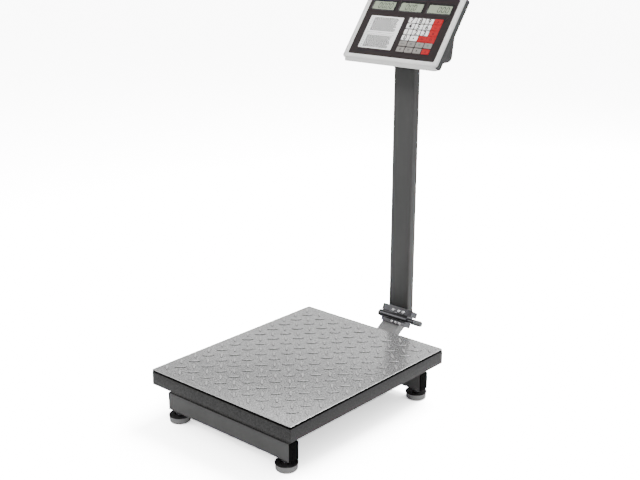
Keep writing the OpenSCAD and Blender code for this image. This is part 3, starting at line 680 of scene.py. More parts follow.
def base_frame():
    part = Part()
    # open tubes: outside with eased ends, then the bore
    half = CROSS_HALF
    stations = [(0.3, 1.8, -half), (0, 1.8, 0.3 - half), (0, 1.8, half - 0.3), (0.3, 1.8, half),
                (2, 1.0, half), (2, 1.0, -half)]
    for side in (-1, 1):
        part.loft(inset_rings(CROSS_WIDTH, CROSS_HEIGHT, stations),
                  frame=shift(0, side * CROSS_Y, CROSS_Z) @ ALONG_X, loop=True)
    stations = [(0, 3, -BEAM_HALF), (0, 3, BEAM_HALF), (2.5, 1, BEAM_HALF), (2.5, 1, -BEAM_HALF)]
    part.loft(inset_rings(BEAM_WIDTH, BEAM_HEIGHT, stations),
              frame=shift(0, 0, BEAM_Z) @ ALONG_Y, loop=True)
    part.prism(40, PAD_DEPTH, 1.2, 59.8, CROSS_TOP, bevel=0.7, cy=PAD_Y)
    # weld beads where the beam meets the cross tubes, and along the cell pad
    for side in (-1, 1):
        y = side * (CROSS_Y - CROSS_WIDTH / 2) - side * 0.7
        for z in (30.3, 59.7):
            part.weld([(x, y, z) for x in spaced(-23, 23, 40)], 1.8)
        for x in (-24.7, 24.7):
            part.weld([(x, y, z) for z in spaced(32, 58, 24)], 1.8)
    for y in (PAD_Y - PAD_DEPTH / 2, PAD_Y + PAD_DEPTH / 2):
        part.weld([(x, y, 60.2) for x in spaced(-19, 19, 34)], 1.3, steps=8)
    build(part, "base_tube_frame", "base", [TUBE, WELD], "base_frame")


def tube_end_plugs():
    part = Part()
    for sx in (-1, 1):
        for sy in (-1, 1):
            place = (shift(sx * CROSS_HALF, sy * CROSS_Y, CROSS_Z)
                     @ Matrix.Scale(sx, 4, (1, 0, 0)) @ ALONG_X)
            part.prism(CROSS_WIDTH, CROSS_HEIGHT, 1.6, 0, 3, bevel=0.5, frame=place, steps=4,
                       low_bevel=0.1)
            for k in range(4):    # gripping fins inside the tube
                part.prism(20.6, 35.6, 1.2, -8 + k * 2, -7 + k * 2 + 0.2, bevel=0.2,
                           frame=place, steps=1)
            part.prism(17, 30, 1.2, -8.0, 0.2, bevel=0.2, frame=place, steps=1)
    build(part, "tube_end_plugs", "base", [CAP], "tube_end_caps")


def foot_lock_nuts():
    part = Part()
    for sx in (-1, 1):
        for sy in (-1, 1):
            part.nut(9.8, 5.05, CROSS_BOTTOM - 6, CROSS_BOTTOM,
                     shift(sx * FOOT_X, sy * CROSS_Y, 0))
    build(part, "foot_lock_nuts", "base", [ZINC], "foot_nuts")


def overload_stops():
    part = Part()
    for x in (-110, 110):
        for y in (-CROSS_Y, CROSS_Y):
            place = shift(x, y, 0)
            part.threads(4.0, 56, 94.2, pitch=1.25, frame=place)
            part.lathe([(3.4, 94.0), (3.4, 94.6), (2.6, 95.2), (0, 95.2)], 32, frame=place)
            part.nut(7.5, 3.9, CROSS_TOP, CROSS_TOP + 6, place)
    build(part, "overload_stops", "base", [ZINC], "overload_stop_screws")


def cell_lower_screws():
    part = Part()
    for y in (PAD_Y - CELL_BOLT_HALF, PAD_Y + CELL_BOLT_HALF):
        place = shift(0, y, 0)
        part.nut(6.5, 3.9, 51.5, 57.5, place)
        part.threads(4.0, 50.5, 70.5, pitch=1.25, frame=place)
    build(part, "cell_lower_screws", "base", [ZINC], "load_cell_lower_bolts")


def cell_cable():
    """Out of the cell's right side, down past the beam, then back along it with a slight sag."""
    part = Part()
    exit_point = (15, -60, 70)
    path = [exit_point]
    path += [(26 + 4 * math.sin(a), -60, 66 + 4 * math.cos(a))
             for a in [math.pi / 2 * i / 8 for i in range(9)]]
    path += [(30, -55 - 5 * math.cos(a), 55 - 5 * math.sin(a))
             for a in [math.pi / 2 * i / 8 for i in range(8)]]
    for y in spaced(-55, 212, 59):
        run = min(max((y + 55) / 255, 0), 1)
        path.append((30 + 0.35 * math.sin(y * 0.05), y, 50 - 0.9 * math.sin(math.pi * run) ** 2))
    part.sweep(path, 2.2, 14)
    part.lathe([(0, 0), (4.0, 0), (4.4, 0.5), (4.4, 3), (3.2, 5.5), (0, 5.5)], 24,
               frame=shift(*exit_point) @ ALONG_X)
    build(part, "cell_cable", "base", [SHEATH], "load_cell_cable")


def base():
    base_frame()
    tube_end_plugs()
    foot_lock_nuts()
    overload_stops()
    from_cad("load_cell", "load_cell_block", "base", ALLOY, bevel=0.5)
    cell_lower_screws()
    cell_cable()


# ---------------------------------------------------------------- feet

# (radius, z) of the grey ring on the floor and the rubber body in and over it
FOOT_RING_PROFILE = [
    (0, 0), (20.2, 0), (20.8, 0.15), (21.0, 0.7), (21.1, 1.5), (22.1, 2.1), (22.5, 2.9),
    (22.7, 3.8), (22.7, 7.0), (22.3, 7.35), (22.3, 7.85), (22.7, 8.2), (22.7, 13.4),
    (22.5, 14.0), (21.8, 14.3), (12.9, 14.3), (12.9, 11.2), (0, 11.2),
]
FOOT_TOP_PROFILE = [
    (0, 11.0), (12.8, 11.0), (12.8, 14.1), (21.9, 14.1), (23.4, 14.3), (24.0, 14.7),
    (24.0, 15.5), (23.7, 16.1), (22.9, 16.4), (21.9, 16.35), (21.1, 15.9), (14.0, 15.7),
    (12.9, 15.4), (12.3, 14.6), (12.2, 12.2), (10.6, 12.1), (9.6, 13.0), (9.0, 13.7),
    (8.4, 14.0), (0, 14.0),
]


def feet():
    for name, sx, sy, body in (("front_left", -1, -1, "foot_fl"), ("front_right", 1, -1, "foot_fr"),
                               ("rear_left", -1, 1, "foot_rl"), ("rear_right", 1, 1, "foot_rr")):
        part = Part()
        place = shift(sx * FOOT_X, sy * CROSS_Y, 0)
        part.lathe(FOOT_RING_PROFILE, 64, 1, place)
        part.lathe(FOOT_TOP_PROFILE, 64, 0, place)
        part.threads(5.0, 13.6, 54, pitch=1.5, frame=place, depth=0.55, mat=2, steps=40)
        build(part, "levelling_foot_" + name, body, [RUBBER, FOOT_RING, ZINC],
              "foot_" + name)


# ---------------------------------------------------------------- support tube and column

def above_hinge(height):
    """Plane parallel to the hinge leaves: zero at this height over the pivot."""
    angle = math.radians(HINGE_TILT)
    return lambda p: ((p.y - HINGE_Y) * math.sin(angle) + (p.z - HINGE_Z) * math.cos(angle)
                      - height)


def cut_tube(part, section, place, start, end):
    """Bar along local z of place, cut at each end where a plane function is zero."""
    def cut(a, b, plane):
        at_zero = plane(place @ Vector((a, b, 0)))
        at_one = plane(place @ Vector((a, b, 1)))
        return tuple(place @ Vector((a, b, -at_zero / (at_one - at_zero))))
    part.loft([[cut(a, b, plane) for a, b in section] for plane in (start, end)])


def support_tube():
    """Leans up and back from the rear cross tube to the hinge."""
    part = Part()
    lean, depth, weld_y = math.radians(31), 25, CROSS_FACE_Y + 0.8
    c, s = math.cos(lean), math.sin(lean)
    place = shift(0, 308.8, HINGE_Z - 21.5) @ Matrix(
        ((1, 0, 0, 0), (0, -s, c, 0), (0, c, s, 0), (0, 0, 0, 1)))
    cut_tube(part, rounded(50, depth, 3.2, 8, cy=-depth / 2), place,
             lambda p: p.y - CROSS_FACE_Y, above_hinge(-16.4))
    # weld round its foot, kept to the height of the cross tube
    outline = []
    for x, y in rounded(50.6, depth + 0.6, 3.4, 8):
        p = place @ Vector((x, y - depth / 2, 0))
        outline.append((p.x, weld_y, p.z + s * (weld_y - p.y) / c))
    outline.append(outline[0])
    bead = []
    for a, b in zip(outline[:-1], outline[1:]):
        a, b = Vector(a), Vector(b)
        count = max(1, int((b - a).length / 1.2))
        bead += [tuple(a.lerp(b, i / count)) for i in range(count)]
    bead = [q for q in bead if 25.0 < q[2] < 63.5]
    # start the bead after its widest gap
    start = max(range(len(bead)), key=lambda i: (Vector(bead[i]) - Vector(bead[i - 1])).length)
    part.weld(bead[start:] + bead[:start], 1.9)
    build(part, "support_tube_leaning", "base", [SUPPORT, WELD], "support_tube",
          angle=40)


def column_post():
    part = Part()
    cut_tube(part, rounded(56, 25, 4.0, 10), shift(0, COLUMN_Y, 0), above_hinge(25.0),
             lambda p: p.z - 726.0)
    build(part, "column_post", "column", [COLUMN], "column_tube", angle=40)


# The black collar is painted shade: it stands in for the head's shadow on the top of the column.
def column_collar():
    part = Part()
    stations = [(1.5, 4.0, 709.9), (0.5, 5.0, 710.0), (0.0, 5.5, 710.6), (0.0, 5.5, 727.0),
                (0.35, 5.2, 727.7), (1.1, 4.4, 728.0)]
    part.loft(inset_rings(59, 28, stations, steps=8, cy=COLUMN_Y))
    build(part, "column_top_collar_painted_shade", "column", [CAP], "column_collar")


# ---------------------------------------------------------------- hinge

# (name, body, CAD node, screw x positions, y, z, size) in the hinge frame
HINGE_SCREWS = [
    ("hinge_lower_screws", "base", "hinge_lower_bolts", (7, 18, 29), -3, -12.6, 0.86),
    ("hinge_upper_screws", "column", "hinge_upper_bolts", (-3, 13, 26), 2.5, 15, 1.0),
]
# (radius, z) at full size
HINGE_SCREW_PROFILE = [
    (0, -3), (3.0, -3), (3.0, 0.0), (4.2, 0.0), (4.2, 1.7), (4.05, 2.3), (3.5, 2.95),
    (2.5, 3.35), (2.0, 3.4), (1.9, 2.2), (0, 2.0),
]
# (radius, x) of the pin across the hinge, head at -x
CLAMP_PIN_PROFILE = [
    (0, -39), (5.2, -39), (6.6, -38.6), (7.6, -37.8), (8, -36.6), (8, -33.4), (7.5, -33),
    (5, -33), (5, 60), (6.4, 60), (7, 60.5), (7, 63.4), (6.4, 64), (3.6, 64), (3.0, 64.6),
    (3.0, 79), (0, 79),
]


def clamp():
    part = Part()
    part.lathe(CLAMP_PIN_PROFILE, frame=ALONG_X)
    build(part, "hinge_clamp_pin", "clamp", [CHROME], "hinge_pin", HINGE)

    part = Part()
    profile = [(3.05, 65.0), (6.0, 65.0), (6.7, 65.4), (7.0, 66.2)]
    for i in range(6):    # grooves round the grip
        x = 67.4 + 2.4 * i
        profile += [(7.0, x), (6.55, x + 0.4), (6.55, x + 0.9), (7.0, x + 1.3)]
    profile += [(7.0, 83.2), (6.6, 84.3), (5.6, 85.0), (0, 85.0)]
    part.lathe(profile, frame=ALONG_X)
    build(part, "clamp_grip_sleeve", "clamp", [GRIP], "clamp_grip", HINGE)


def hinge():
    from_cad("hinge_lower_bracket", "hinge_lower_casting", "base", CHROME,
             bevel=0.7, segments=3)
    from_cad("hinge_upper_bracket", "hinge_upper_casting", "column", CHROME,
             bevel=0.7, segments=3)
    for name, body, cad, places, y, z, size in HINGE_SCREWS:
        part = Part()
        profile = [(radius * size, height) for radius, height in HINGE_SCREW_PROFILE]
        for x in places:
            part.lathe(profile, 36, frame=shift(x, y, z) @ TO_FRONT)
        build(part, name, body, [BOLT], cad, HINGE)
    clamp()


# ---------------------------------------------------------------- head shell

# (half width, lower v, upper v, corner radius, height off the face) once round the bezel section
BEZEL_STATIONS = [
    (114.0, 4.0, 152.0, 4.0, -4.0), (129.0, -10.2, 167.0, 6.2, -4.0),
    (129.7, -10.8, 167.7, 6.8, -3.6), (130.0, -11.0, 168.0, 7.0, -2.9),
    (130.0, -11.0, 168.0, 7.0, -1.0), (129.7, -10.7, 167.7, 6.8, 0.1),
    (128.9, -9.9, 166.9, 6.3, 0.95), (127.6, -8.7, 165.7, 5.6, 1.4),
    (126.2, -7.4, 164.4, 5.0, 1.5), (121.0, -2.4, 159.0, 4.8, 1.3),
    (119.6, -1.1, 157.6, 4.8, 1.15), (118.7, -0.5, 156.7, 4.4, 0.7),
    (118.15, -0.15, 156.15, 4.1, 0.1), (118.1, -0.1, 156.1, 4.0, -2.5),
    (114.0, 4.0, 152.0, 4.0, -2.5),
]
# (y, z above FACE_Z) of the wedge behind the head, drawn across x
WEDGE_PROFILE = [
    (306, -5.3), (336, -5.3), (341, -4.9), (345, -3.5), (348.3, -1.0), (350.8, 2.3),
    (352.2, 6.3), (353.0, 11.7), (358.2, 47.7), (359.6, 52.2), (362.0, 56.3), (366.5, 62.2),
    (356, 66.7),
]


def skirt_ring(inset, z=None):
    """Skirt section, open side to the rear; with no z it rises to the face's lower edge."""
    front, rear, edge_v = 286.6 + inset, 294.5, -10.96
    half, radius = 126.0 - inset, 6.0 - inset
    tilt = math.radians(FACE_TILT)
    points = [(-half, rear)] + arc(radius - half, front + radius, radius, 180, 270, 8)
    points += [(x, front) for x in spaced(radius - half, half - radius, 24)[1:-1]]
    points += arc(half - radius, front + radius, radius, 270, 360, 8) + [(half, rear)]
    if z is not None:
        return lift(points, z)
    return [(x, y, FACE_Z + (edge_v - (y - FACE_Y) * math.cos(tilt)) / math.sin(tilt))
            for x, y in points]


def front_bezel():
    part = Part()
    part.loft([lift(rounded(2 * half, v1 - v0, radius, 10, 0, (v0 + v1) / 2), height)
               for half, v0, v1, radius, height in BEZEL_STATIONS], loop=True)
    for x, v in HEAD_SCREWS:
        part.lathe([(1.55, -13), (4, -13), (4, -3), (1.55, -3), (1.55, -13)], 24,
                   frame=shift(x, v, 0))
    # upright skirt under the face, closed underneath
    part.loft([skirt_ring(1.6, HEAD_UNDER_Z), skirt_ring(0.5, HEAD_UNDER_Z + 0.25),
               skirt_ring(0.0, HEAD_UNDER_Z + 1.0), skirt_ring(0.0)], frame=HEAD_MM.inverted())
    build(part, "head_front_bezel", "head", [BEZEL], "head_bezel", HEAD,
          angle=50)


def shell_tray(part):
    """Shallow tray behind the bezel, its underside kept level."""
    sections = ((-4.0, 0.5), (-4.4, 0.0), (-17.6, 0.3), (-18.9, 0.7), (-19.7, 1.5), (-20.0, 2.6))
    stations = [(inset, 7 - min(inset, 3), z) for z, inset in sections]
    rings = []
    for ring in inset_rings(259.2, 177, stations, steps=10, cy=78.0):
        level = []
        for x, v, z in ring:
            below = HEAD_UNDER_Z - (HEAD_MM @ Vector((x, v, z))).z
            level.append((x, v + max(below, 0) / math.sin(math.radians(FACE_TILT)), z))
        rings.append(level)
    part.loft(rings, frame=HEAD_MM)


def shell_wedge(part):
    """Wedge across the back, its ends rounded."""
    profile = [(y, FACE_Z + z) for y, z in WEDGE_PROFILE]
    cy = sum(p[0] for p in profile) / len(profile)
    cz = sum(p[1] for p in profile) / len(profile)
    rings = []
    for x, inset in ((-125, 2.6), (-124.6, 1.6), (-123.8, 0.7), (-122.4, 0.0),
                     (122.4, 0.0), (123.8, 0.7), (124.6, 1.6), (125, 2.6)):
        ring = []
        for y, z in profile:
            inward = Vector((cy - y, cz - z)).normalized() * inset
            ring.append((x, y + inward.x, z + inward.y))
        rings.append(ring)
    part.loft(rings)


def tilt_lugs(part):
    radius, reach, thick = 10, 22, 7.6
    outline = [(-reach, -radius)]
    outline += [(radius * math.sin(a), -radius * math.cos(a))
                for a in [math.pi * i / 20 for i in range(21)]]
    outline.append((-reach, radius))
    rings = []
    for x, inset in ((0, 0.5), (0.5, 0), (thick - 0.5, 0), (thick, 0.5)):
        shrink = 1 - inset / radius
        rings.append([(a * shrink if a > 0 else a, b * shrink, x) for a, b in outline])
    for side in (-1, 1):
        part.loft(rings, frame=shift(side * 22 - thick / 2, KNUCKLE_Y, KNUCKLE_Z) @ ALONG_X)


def rear_shell():
    part = Part()
    shell_tray(part)
    shell_wedge(part)
    tilt_lugs(part)
    for x in (-90, -60, 60, 90):    # upright ribs on the back of the wedge
        part.prism(2.2, 34, 0.8, -0.2, 0.9, bevel=0.5, cx=x, steps=2,
                   frame=shift(0, 355.6, FACE_Z + 28.7) @ turn(-81.8, "X"))
    build(part, "head_rear_shell", "head", [HOUSING], "head_rear_housing",
          angle=38)


def housing_screws():
    part = Part()
    for x, v in HEAD_SCREWS:
        place = shift(x, v, -20) @ turn(180, "X")
        part.lathe([(0, 0), (3.4, 0), (3.4, 0.9), (2.9, 1.8), (2.0, 2.2), (1.3, 2.2),
                    (1.2, 1.3), (0, 1.2)], 32, frame=place)
        part.threads(1.5, -11.5, 0.2, pitch=0.9, frame=place, depth=0.25, steps=20)
    build(part, "housing_fixings", "head", [ZINC], "housing_screws", HEAD)


# ---------------------------------------------------------------- keys

# CAD node: (column, row from the bottom, legend)
KEYS = {
    "key_0": (0, 2, "0"), "key_point": (1, 2, "."),
    "key_1": (0, 3, "1"), "key_2": (1, 3, "2"), "key_3": (2, 3, "3"),
    "key_4": (0, 4, "4"), "key_5": (1, 4, "5"), "key_6": (2, 4, "6"),
    "key_7": (0, 5, "7"), "key_8": (1, 5, "8"), "key_9": (2, 5, "9"),
    "key_red_1": (3, 0, "up"), "key_red_2": (2, 2, "left"), "key_red_3": (3, 2, "ring"),
    "key_red_4": (3, 3, "times"), "key_red_5": (3, 4, "minus"), "key_red_6": (3, 5, "plus"),
    "key_red_7": (3, 1, "lines_green"),
    "key_grey_1": (0, 0, "lines"), "key_grey_2": (1, 0, "square"), "key_grey_3": (2, 0, "play"),
    "key_grey_4": (0, 1, "dots"), "key_grey_5": (1, 1, "equals"),
    "key_grey_6": (2, 1, "lines_green"),
}
LINES = [rectangle(-w / 2, y - 0.5, w / 2, y + 0.5)
         for y, w in ((1.9, 5.4), (0.0, 6.2), (-1.9, 4.2))]
# legend: flat outlines, (x, y) from the key centre
MARKS = {
    ".": [circle(1.9, 20)],
    "up": [[(-2.6, -1.8), (2.6, -1.8), (0, 2.4)]],
    "left": [[(-3.8, 0), (-0.6, -2.4), (-0.6, -0.8), (3.6, -0.8), (3.6, 0.8), (-0.6, 0.8),
              (-0.6, 2.4)]],
    "play": [[(-2.0, -2.6), (2.6, 0), (-2.0, 2.6)]],
    "minus": [rectangle(-3.2, -0.65, 3.2, 0.65)],
    "equals": [rectangle(-3.2, 0.7, 3.2, 1.8), rectangle(-3.2, -1.8, 3.2, -0.7)],
    "square": [rectangle(-2.4, -2.4, 2.4, -1.5), rectangle(-2.4, 1.5, 2.4, 2.4),
               rectangle(-2.4, -1.5, -1.5, 1.5), rectangle(1.5, -1.5, 2.4, 1.5)],
    "dots": [circle(1.0, 16, x) for x in (-3.4, 0, 3.4)],
    "lines": LINES,
    "lines_green": LINES,
}
MARK_THICK = 0.05
CROSSING_LIFT = 0.004    # keeps crossing strokes from sharing a plane
DIGIT_SIZE, DIGIT_BOLD, DIGIT_STRETCH = 15.5, 0.032, 1.05


def digit(part, text, z, mat):
    """One bold numeral, centred on its outline."""
    curve = bpy.data.curves.new("glyph", "FONT")
    curve.body = text
    curve.size = DIGIT_SIZE
    curve.align_x = "CENTER"
    curve.align_y = "CENTER"
    curve.offset = DIGIT_BOLD * DIGIT_SIZE
    curve.resolution_u = 3
    curve.extrude = MARK_THICK / 2
    holder = add_object("glyph", curve)
    evaluated = holder.evaluated_get(bpy.context.evaluated_depsgraph_get())
    mesh = evaluated.to_mesh()
    points = [tuple(vertex.co) for vertex in mesh.vertices]
    faces = [list(polygon.vertices) for polygon in mesh.polygons]
    evaluated.to_mesh_clear()
    bpy.data.objects.remove(holder)
    bpy.data.curves.remove(curve)
    cx, cy = [(min(p[i] for p in points) + max(p[i] for p in points)) / 2 for i in (0, 1)]
    part.add([((x - cx) * DIGIT_STRETCH, y - cy, height + z) for x, y, height in points],
             faces, mat)


def ring_mark(part, z, mat, count=28):
    outer, inner = circle(3.0, count), circle(1.9, count)
    low = z - MARK_THICK
    faces = []
    for i in range(count):
        j = (i + 1) % count
        faces += [[i, j, count + j, count + i],
                  [2 * count + j, 2 * count + i, 3 * count + i, 3 * count + j],
                  [i, 2 * count + i, 2 * count + j, j],
                  [count + i, count + j, 3 * count + j, 3 * count + i]]
    part.add(lift(outer, z) + lift(inner, z) + lift(outer, low) + lift(inner, low), faces, mat)


def times_mark(part, z, mat):
    reach, half = 2.3, 0.62 * 0.7
    near, far = reach - half, reach + half
    for side in (-1, 1):
        stroke = [(-far, -side * near), (-near, -side * far), (far, side * near),
                  (near, side * far)]
        part.plate(stroke[::side], z + CROSSING_LIFT * side, mat)


def legend(part, kind, z, mat):
    if kind.isdigit():
        digit(part, kind, z, mat)
    elif kind == "ring":
        ring_mark(part, z, mat)
    elif kind == "times":
        times_mark(part, z, mat)
    elif kind == "plus":
        part.bar(-3.2, -0.65, 3.2, 0.65, z, mat)
        part.bar(-0.65, -3.2, 0.65, 3.2, z + CROSSING_LIFT, mat)
    else:
        for outline in MARKS[kind]:
            part.plate(outline, z, mat)


def key_finish(name, kind):
    """Cap material, legend material and slot of a key."""
    if kind == "lines_green":
        return GREY_KEY, INK_GREEN, "key_grey"
    if "red" in name:
        return RED_KEY, INK_RED, "key_red"
    if "grey" in name:
        return GREY_KEY, INK_GREY, "key_grey"
    return WHITE_KEY, INK, "key_white"


def keys():
    rim = ((-1.2, 0.25), (-1.0, 0.0), (0.55, 0.0), (0.82, 0.12), (0.97, 0.38), (1.02, 0.8))
    stations = [(inset, 1.5 - min(inset, 0.9), z) for z, inset in rim]
    stations += [(1.5, 1.2, 1.0), (2.6, 1.2, 0.96), (4.2, 1.2, 0.94)]    # shallow dish in the top
    for name, (column, row, kind) in KEYS.items():
        part = Part()
        part.loft(inset_rings(20, 12.5, stations))
        legend(part, kind, 1.0, 1)
        cap, ink, slot = key_finish(name, kind)
        place = HEAD @ shift(KEY_X + column * KEY_PITCH_X, KEY_V + row * KEY_PITCH_V, 0)
        build(part, "cap_" + name, "b_" + name, [cap, ink], name, place, angle=40)


# ---------------------------------------------------------------- face

def face_print():
    part = Part()
    # L-shaped red print joining the red keys: right column, with a foot to the left
    margin_x, margin_v, radius = 11.4, 7.6, 1.6
    right_key, foot_key = KEY_X + 3 * KEY_PITCH_X, KEY_X + 2 * KEY_PITCH_X
    left, right, foot = right_key - margin_x, right_key + margin_x, foot_key - margin_x
    low_row = KEY_V + 2 * KEY_PITCH_V
    low, high, foot_top = low_row - margin_v, KEY_V + 5 * KEY_PITCH_V + margin_v, low_row + 7.4
    outline = (arc(foot + radius, low + radius, radius, 180, 270, 6)
               + arc(right - radius, low + radius, radius, 270, 360, 6)
               + arc(right - radius, high - radius, radius, 0, 90, 6)
               + arc(left + radius, high - radius, radius, 90, 180, 6)
               + [(left, foot_top)]
               + arc(foot + radius, foot_top - radius, radius, 90, 180, 6))
    part.plate(outline, 0.07, 0, thick=0.12)
    # small outlined box with five blocks, at the lower left
    x0, v0, x1, v1, line, top = -98, 4.2, -72, 12.6, 0.7, 0.06
    part.bar(x0, v0, x1, v0 + line, top, 1)
    part.bar(x0, v1 - line, x1, v1, top, 1)
    part.bar(x0, v0 + line, x0 + line, v1 - line, top, 1)
    part.bar(x1 - line, v0 + line, x1, v1 - line, top, 1)
    for i in range(5):
        part.bar(-95.5 + i * 4.4, 6.4, -92.6 + i * 4.4, 10.4, top, 1)
    build(part, "face_print", "head", [RED_FILM, CARD_INK], frame=HEAD)


def printed_card():
    part = Part()
    part.prism(92, 83, 2.0, 0, 0.3, bevel=0.12, cx=-52.5, cy=58.5, steps=2)
    top, margin_x, line_step = 0.33, -94.0, 2.05

    def words(x, x_end, v, height, mat):
        while x < x_end - 1.5:
            width = min(card_random.uniform(2.2, 6.5), x_end - x)
            part.bar(x, v, x + width, v + height, top, mat)
            x += width + card_random.uniform(0.5, 0.9)

    # two paragraphs, each with short index marks down the margin
    for v_start, v_end in ((20.5, 51.0), (62.5, 97.0)):
        v = v_start
        while v < v_end:
            words(-86.5, -17 - card_random.uniform(0, 5), v, 1.35, 1)
            v += line_step
        v = v_start
        while v < v_end:
            part.bar(margin_x, v, margin_x + card_random.uniform(2.5, 4.5), v + 1.2, top, 2)
            v += line_step * 2.4
    for v in (53.2, 57.6):
        words(-94, -13, v, 0.9, 2)
    build(part, "printed_card", "head", [CARD, CARD_INK, CARD_INK_SOFT],
          "instruction_card", HEAD)


def display_zero(part, x, y, z, mat):
    """Leaning seven-segment zero with its lower left corner at x, y."""
    width, height, thick, gap, lean = 6.4, 13.0, 1.5, 0.22, 0.10
    right, middle, top = x + width, y + height / 2, y + height
    for x0, y0, x1, y1 in ((x, top, right, top), (right, top, right, middle),
                           (right, middle, right, y), (x, y, right, y), (x, middle, x, y),
                           (x, top, x, middle)):
        along = Vector((x1 - x0, y1 - y0)).normalized()
        a, b = Vector((x0, y0)) + along * gap, Vector((x1, y1)) - along * gap
        across = Vector((-along.y, along.x)) * (thick / 2)
        point = along * thick / 2
        outline = [a, a + point - across, b - point - across, b, b - point + across,
                   a + point + across]
        part.plate([(p.x + lean * (p.y - y), p.y) for p in outline], z, mat, thick=0.04)


def display_windows():
    part = Part()
    digit_pitch, ink_top = 10.6, 0.37
    for x, cells in ((-76, range(1, 5)), (0, range(1, 4)), (76, range(2, 5))):
        part.prism(68, 28, 1.0, -1.9, 0.25, bevel=0.12, cx=x, cy=128.5, mat=0, steps=2)
        part.prism(60, 20, 1.2, 0.2, 0.32, bevel=0.05, cx=x, cy=127.5, mat=1, steps=1)
        for i in cells:
            display_zero(part, x - 26 + i * digit_pitch, 120.8, ink_top, 2)
        part.plate(circle(0.7, 12, x - 26 + 2 * digit_pitch + 8.6, 120.9), ink_top, 2,
                   thick=0.04)
    build(part, "display_window_set", "head", [WINDOW_RIM, LCD, LCD_INK],
          "display_windows", HEAD)


# ---------------------------------------------------------------- column to head joint

def tilt_bolt():
    part = Part()
    part.lathe([(0, -31), (4, -31), (4, 29.6), (3.5, 30.2)], 32, frame=KNUCKLE)
    part.threads(4.0, 29.9, 36, pitch=1.25, frame=KNUCKLE)
    # hexagon head
    part.loft([lift(circle(radius, 6), x) for radius, x in (
        (6.8, -36), (7.5, -35.58), (7.5, -31.82), (6.8, -31.4))], frame=KNUCKLE)
    part.lathe([(0, -31.5), (8.2, -31.5), (8.2, -30), (0, -30)], 36, frame=KNUCKLE)
    build(part, "tilt_through_bolt", "column", [ZINC], "tilt_bolt")


def tilt_knob():
    """Six-lobed hand knob on the right end of the bolt."""
    part = Part()
    angles = [2 * math.pi * j / 96 for j in range(96)]
    rings = []
    for x, size in ((34, 0.86), (34.4, 0.93), (35.2, 0.98), (36.4, 1.0), (43.4, 1.0),
                    (44.8, 0.975), (45.7, 0.92), (46, 0.84)):
        ring = []
        for a in angles:
            radius = (11.8 + 1.35 * math.cos(6 * a)) * size
            ring.append((radius * math.cos(a), radius * math.sin(a), x))
        rings.append(ring)
    part.loft(rings, frame=KNUCKLE)
    part.lathe([(0, 30.3), (7.4, 30.3), (8, 30.9), (8, 34.6), (0, 34.6)], 36, 0, KNUCKLE)
    part.lathe([(0, 45.6), (5.6, 45.6), (6.0, 45.8), (5.4, 45.95), (0, 46.0)], 36, 1, KNUCKLE)
    build(part, "tilt_hand_knob", "knob", [CAP, ZINC], "tilt_knob")


def hidden_parts():
    """The board and battery keep their CAD shapes."""
    for name, material in (("main_board", BOARD), ("battery", BATTERY)):
        nodes[name].data.materials.clear()
        nodes[name].data.materials.append(material)


# ---------------------------------------------------------------- stage, light, camera

SKY = 0.75            # world strength on the product
BACKDROP = 12.0       # world strength seen directly by the camera
FLOOR_GAIN = 14.0     # floor brightness seen directly by the camera

# (position, grey) from below to above: the room that shiny surfaces reflect
REFLECTED_ROOM = [
    (0.0, 0.30), (0.14, 0.15), (0.20, 1.2), (0.36, 1.6), (0.42, 0.12), (0.52, 0.08),
    (0.58, 2.4), (0.66, 2.8), (0.72, 0.25), (1.0, 1.0),
]


def floor():
    mesh = bpy.data.meshes.new("floor")
    half = 30.0
    mesh.from_pydata(lift(rectangle(-half, -half, half, half), 0), [], [[0, 1, 2, 3]])
    mat = Material("floor_pale")
    mat.set(colour=mat.ramp(mat.noise(scale=0.8, detail=3), [(0.3, rgb(238)), (0.7, rgb(244))]),
            rough=0.75, spec=0.2)
    # the camera sees the floor burnt out to white, with its soft shadows kept
    rays = mat.node("ShaderNodeLightPath")
    hot = mat.node("ShaderNodeBsdfDiffuse", {"Color": grey(FLOOR_GAIN)})
    surface = mat.mix_shaders(rays.outputs["Is Camera Ray"], mat.shader.outputs[0],
                              hot.outputs[0])
    mat.feed(mat.tree.nodes["Material Output"].inputs["Surface"], surface)
    mesh.materials.append(mat.done())
    add_object("floor", mesh)


def world():
    """Even sky, a banded room for reflections and a bright backdrop for the camera."""
    studio = bpy.data.worlds.new("studio")
    bpy.context.scene.world = studio
    studio.use_nodes = True
    graph = Graph(studio.node_tree)
    direction = graph.node("ShaderNodeTexCoord").outputs["Generated"]
    height = graph.node("ShaderNodeSeparateXYZ", {0: direction}).outputs["Z"]
    sky = graph.tree.nodes["Background"]
    graph.feed(sky.inputs["Color"], graph.ramp(height, [(0.0, grey(0.85)), (1.0, grey(1.0))]))
    graph.feed(sky.inputs["Strength"], SKY)
    room_colour = graph.ramp(height, [(position, grey(v)) for position, v in REFLECTED_ROOM])
    room = graph.node("ShaderNodeBackground", {"Color": room_colour, "Strength": SKY * 0.9})
    backdrop = graph.node("ShaderNodeBackground", {"Color": grey(1), "Strength": BACKDROP})
    rays = graph.node("ShaderNodeLightPath").outputs
    lit = graph.mix_shaders(rays["Is Glossy Ray"], sky.outputs[0], room.outputs[0])
    seen = graph.mix_shaders(rays["Is Camera Ray"], lit, backdrop.outputs[0])
    graph.feed(graph.tree.nodes["World Output"].inputs["Surface"], seen)


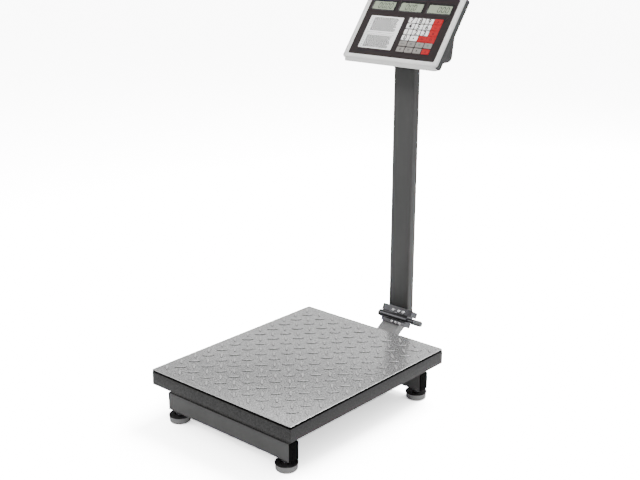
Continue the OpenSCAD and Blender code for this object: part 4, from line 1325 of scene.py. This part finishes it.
def area(name, place, target, size, power, spread=180):
    """Rectangular light aimed at a target; metres, watts and degrees."""
    light = bpy.data.lights.new(name, "AREA")
    light.shape = "RECTANGLE"
    light.size, light.size_y = size
    light.energy = power
    light.spread = math.radians(spread)
    lamp = add_object(name, light)
    lamp.location = place
    lamp.rotation_euler = (Vector(target) - Vector(place)).to_track_quat("-Z", "Y").to_euler()


def lights():
    area("key", place=(0.3, 1.4, 2.6), target=(0, 0.05, 0.2), size=(1.6, 1.2), power=60)
    area("fill", place=(-2.2, -1.4, 1.6), target=(0, 0, 0.3), size=(1.6, 1.6), power=10)
    area("rim", place=(0.4, 2.2, 1.8), target=(0, 0.2, 0.4), size=(1.6, 1.0), power=16)
    area("face", place=(0.3, -0.7, 1.8), target=(0, 0.26, 0.88), size=(0.5, 0.5), power=1.3,
         spread=40)


def camera():
    """In front and to the right, looking down at the product."""
    azimuth, elevation, roll = [math.radians(a) for a in (41.182, 17.4717, 0.1589)]
    position = Vector((1437.6136, -1580.8119, 1061.4261))
    back = Vector((math.sin(azimuth) * math.cos(elevation),
                   -math.cos(azimuth) * math.cos(elevation), math.sin(elevation)))
    level_right = Vector((math.cos(azimuth), math.sin(azimuth), 0))
    level_up = back.cross(level_right)
    right = level_right * math.cos(roll) + level_up * math.sin(roll)
    up = level_up * math.cos(roll) - level_right * math.sin(roll)
    lens = bpy.data.cameras.new("camera")
    lens.sensor_width = 36
    lens.lens = 60.135699
    lens.clip_start, lens.clip_end = 0.05, 100
    made = add_object("camera", lens)
    pose = Matrix((right, up, back)).transposed().to_4x4()
    pose.translation = Vector((position.x * MM, position.y * MM + PLATFORM_Y, position.z * MM))
    made.matrix_world = pose
    bpy.context.scene.camera = made


platform()
base()
feet()
support_tube()
column_post()
column_collar()
hinge()
front_bezel()
rear_shell()
housing_screws()
keys()
from_cad("face_panel", "face_film_panel", "head", PANEL)
face_print()
printed_card()
display_windows()
from_cad("head_bracket", "head_bracket_plate", "column", BRACKET, bevel=0.6)
tilt_bolt()
tilt_knob()
hidden_parts()
floor()
world()
lights()
camera()
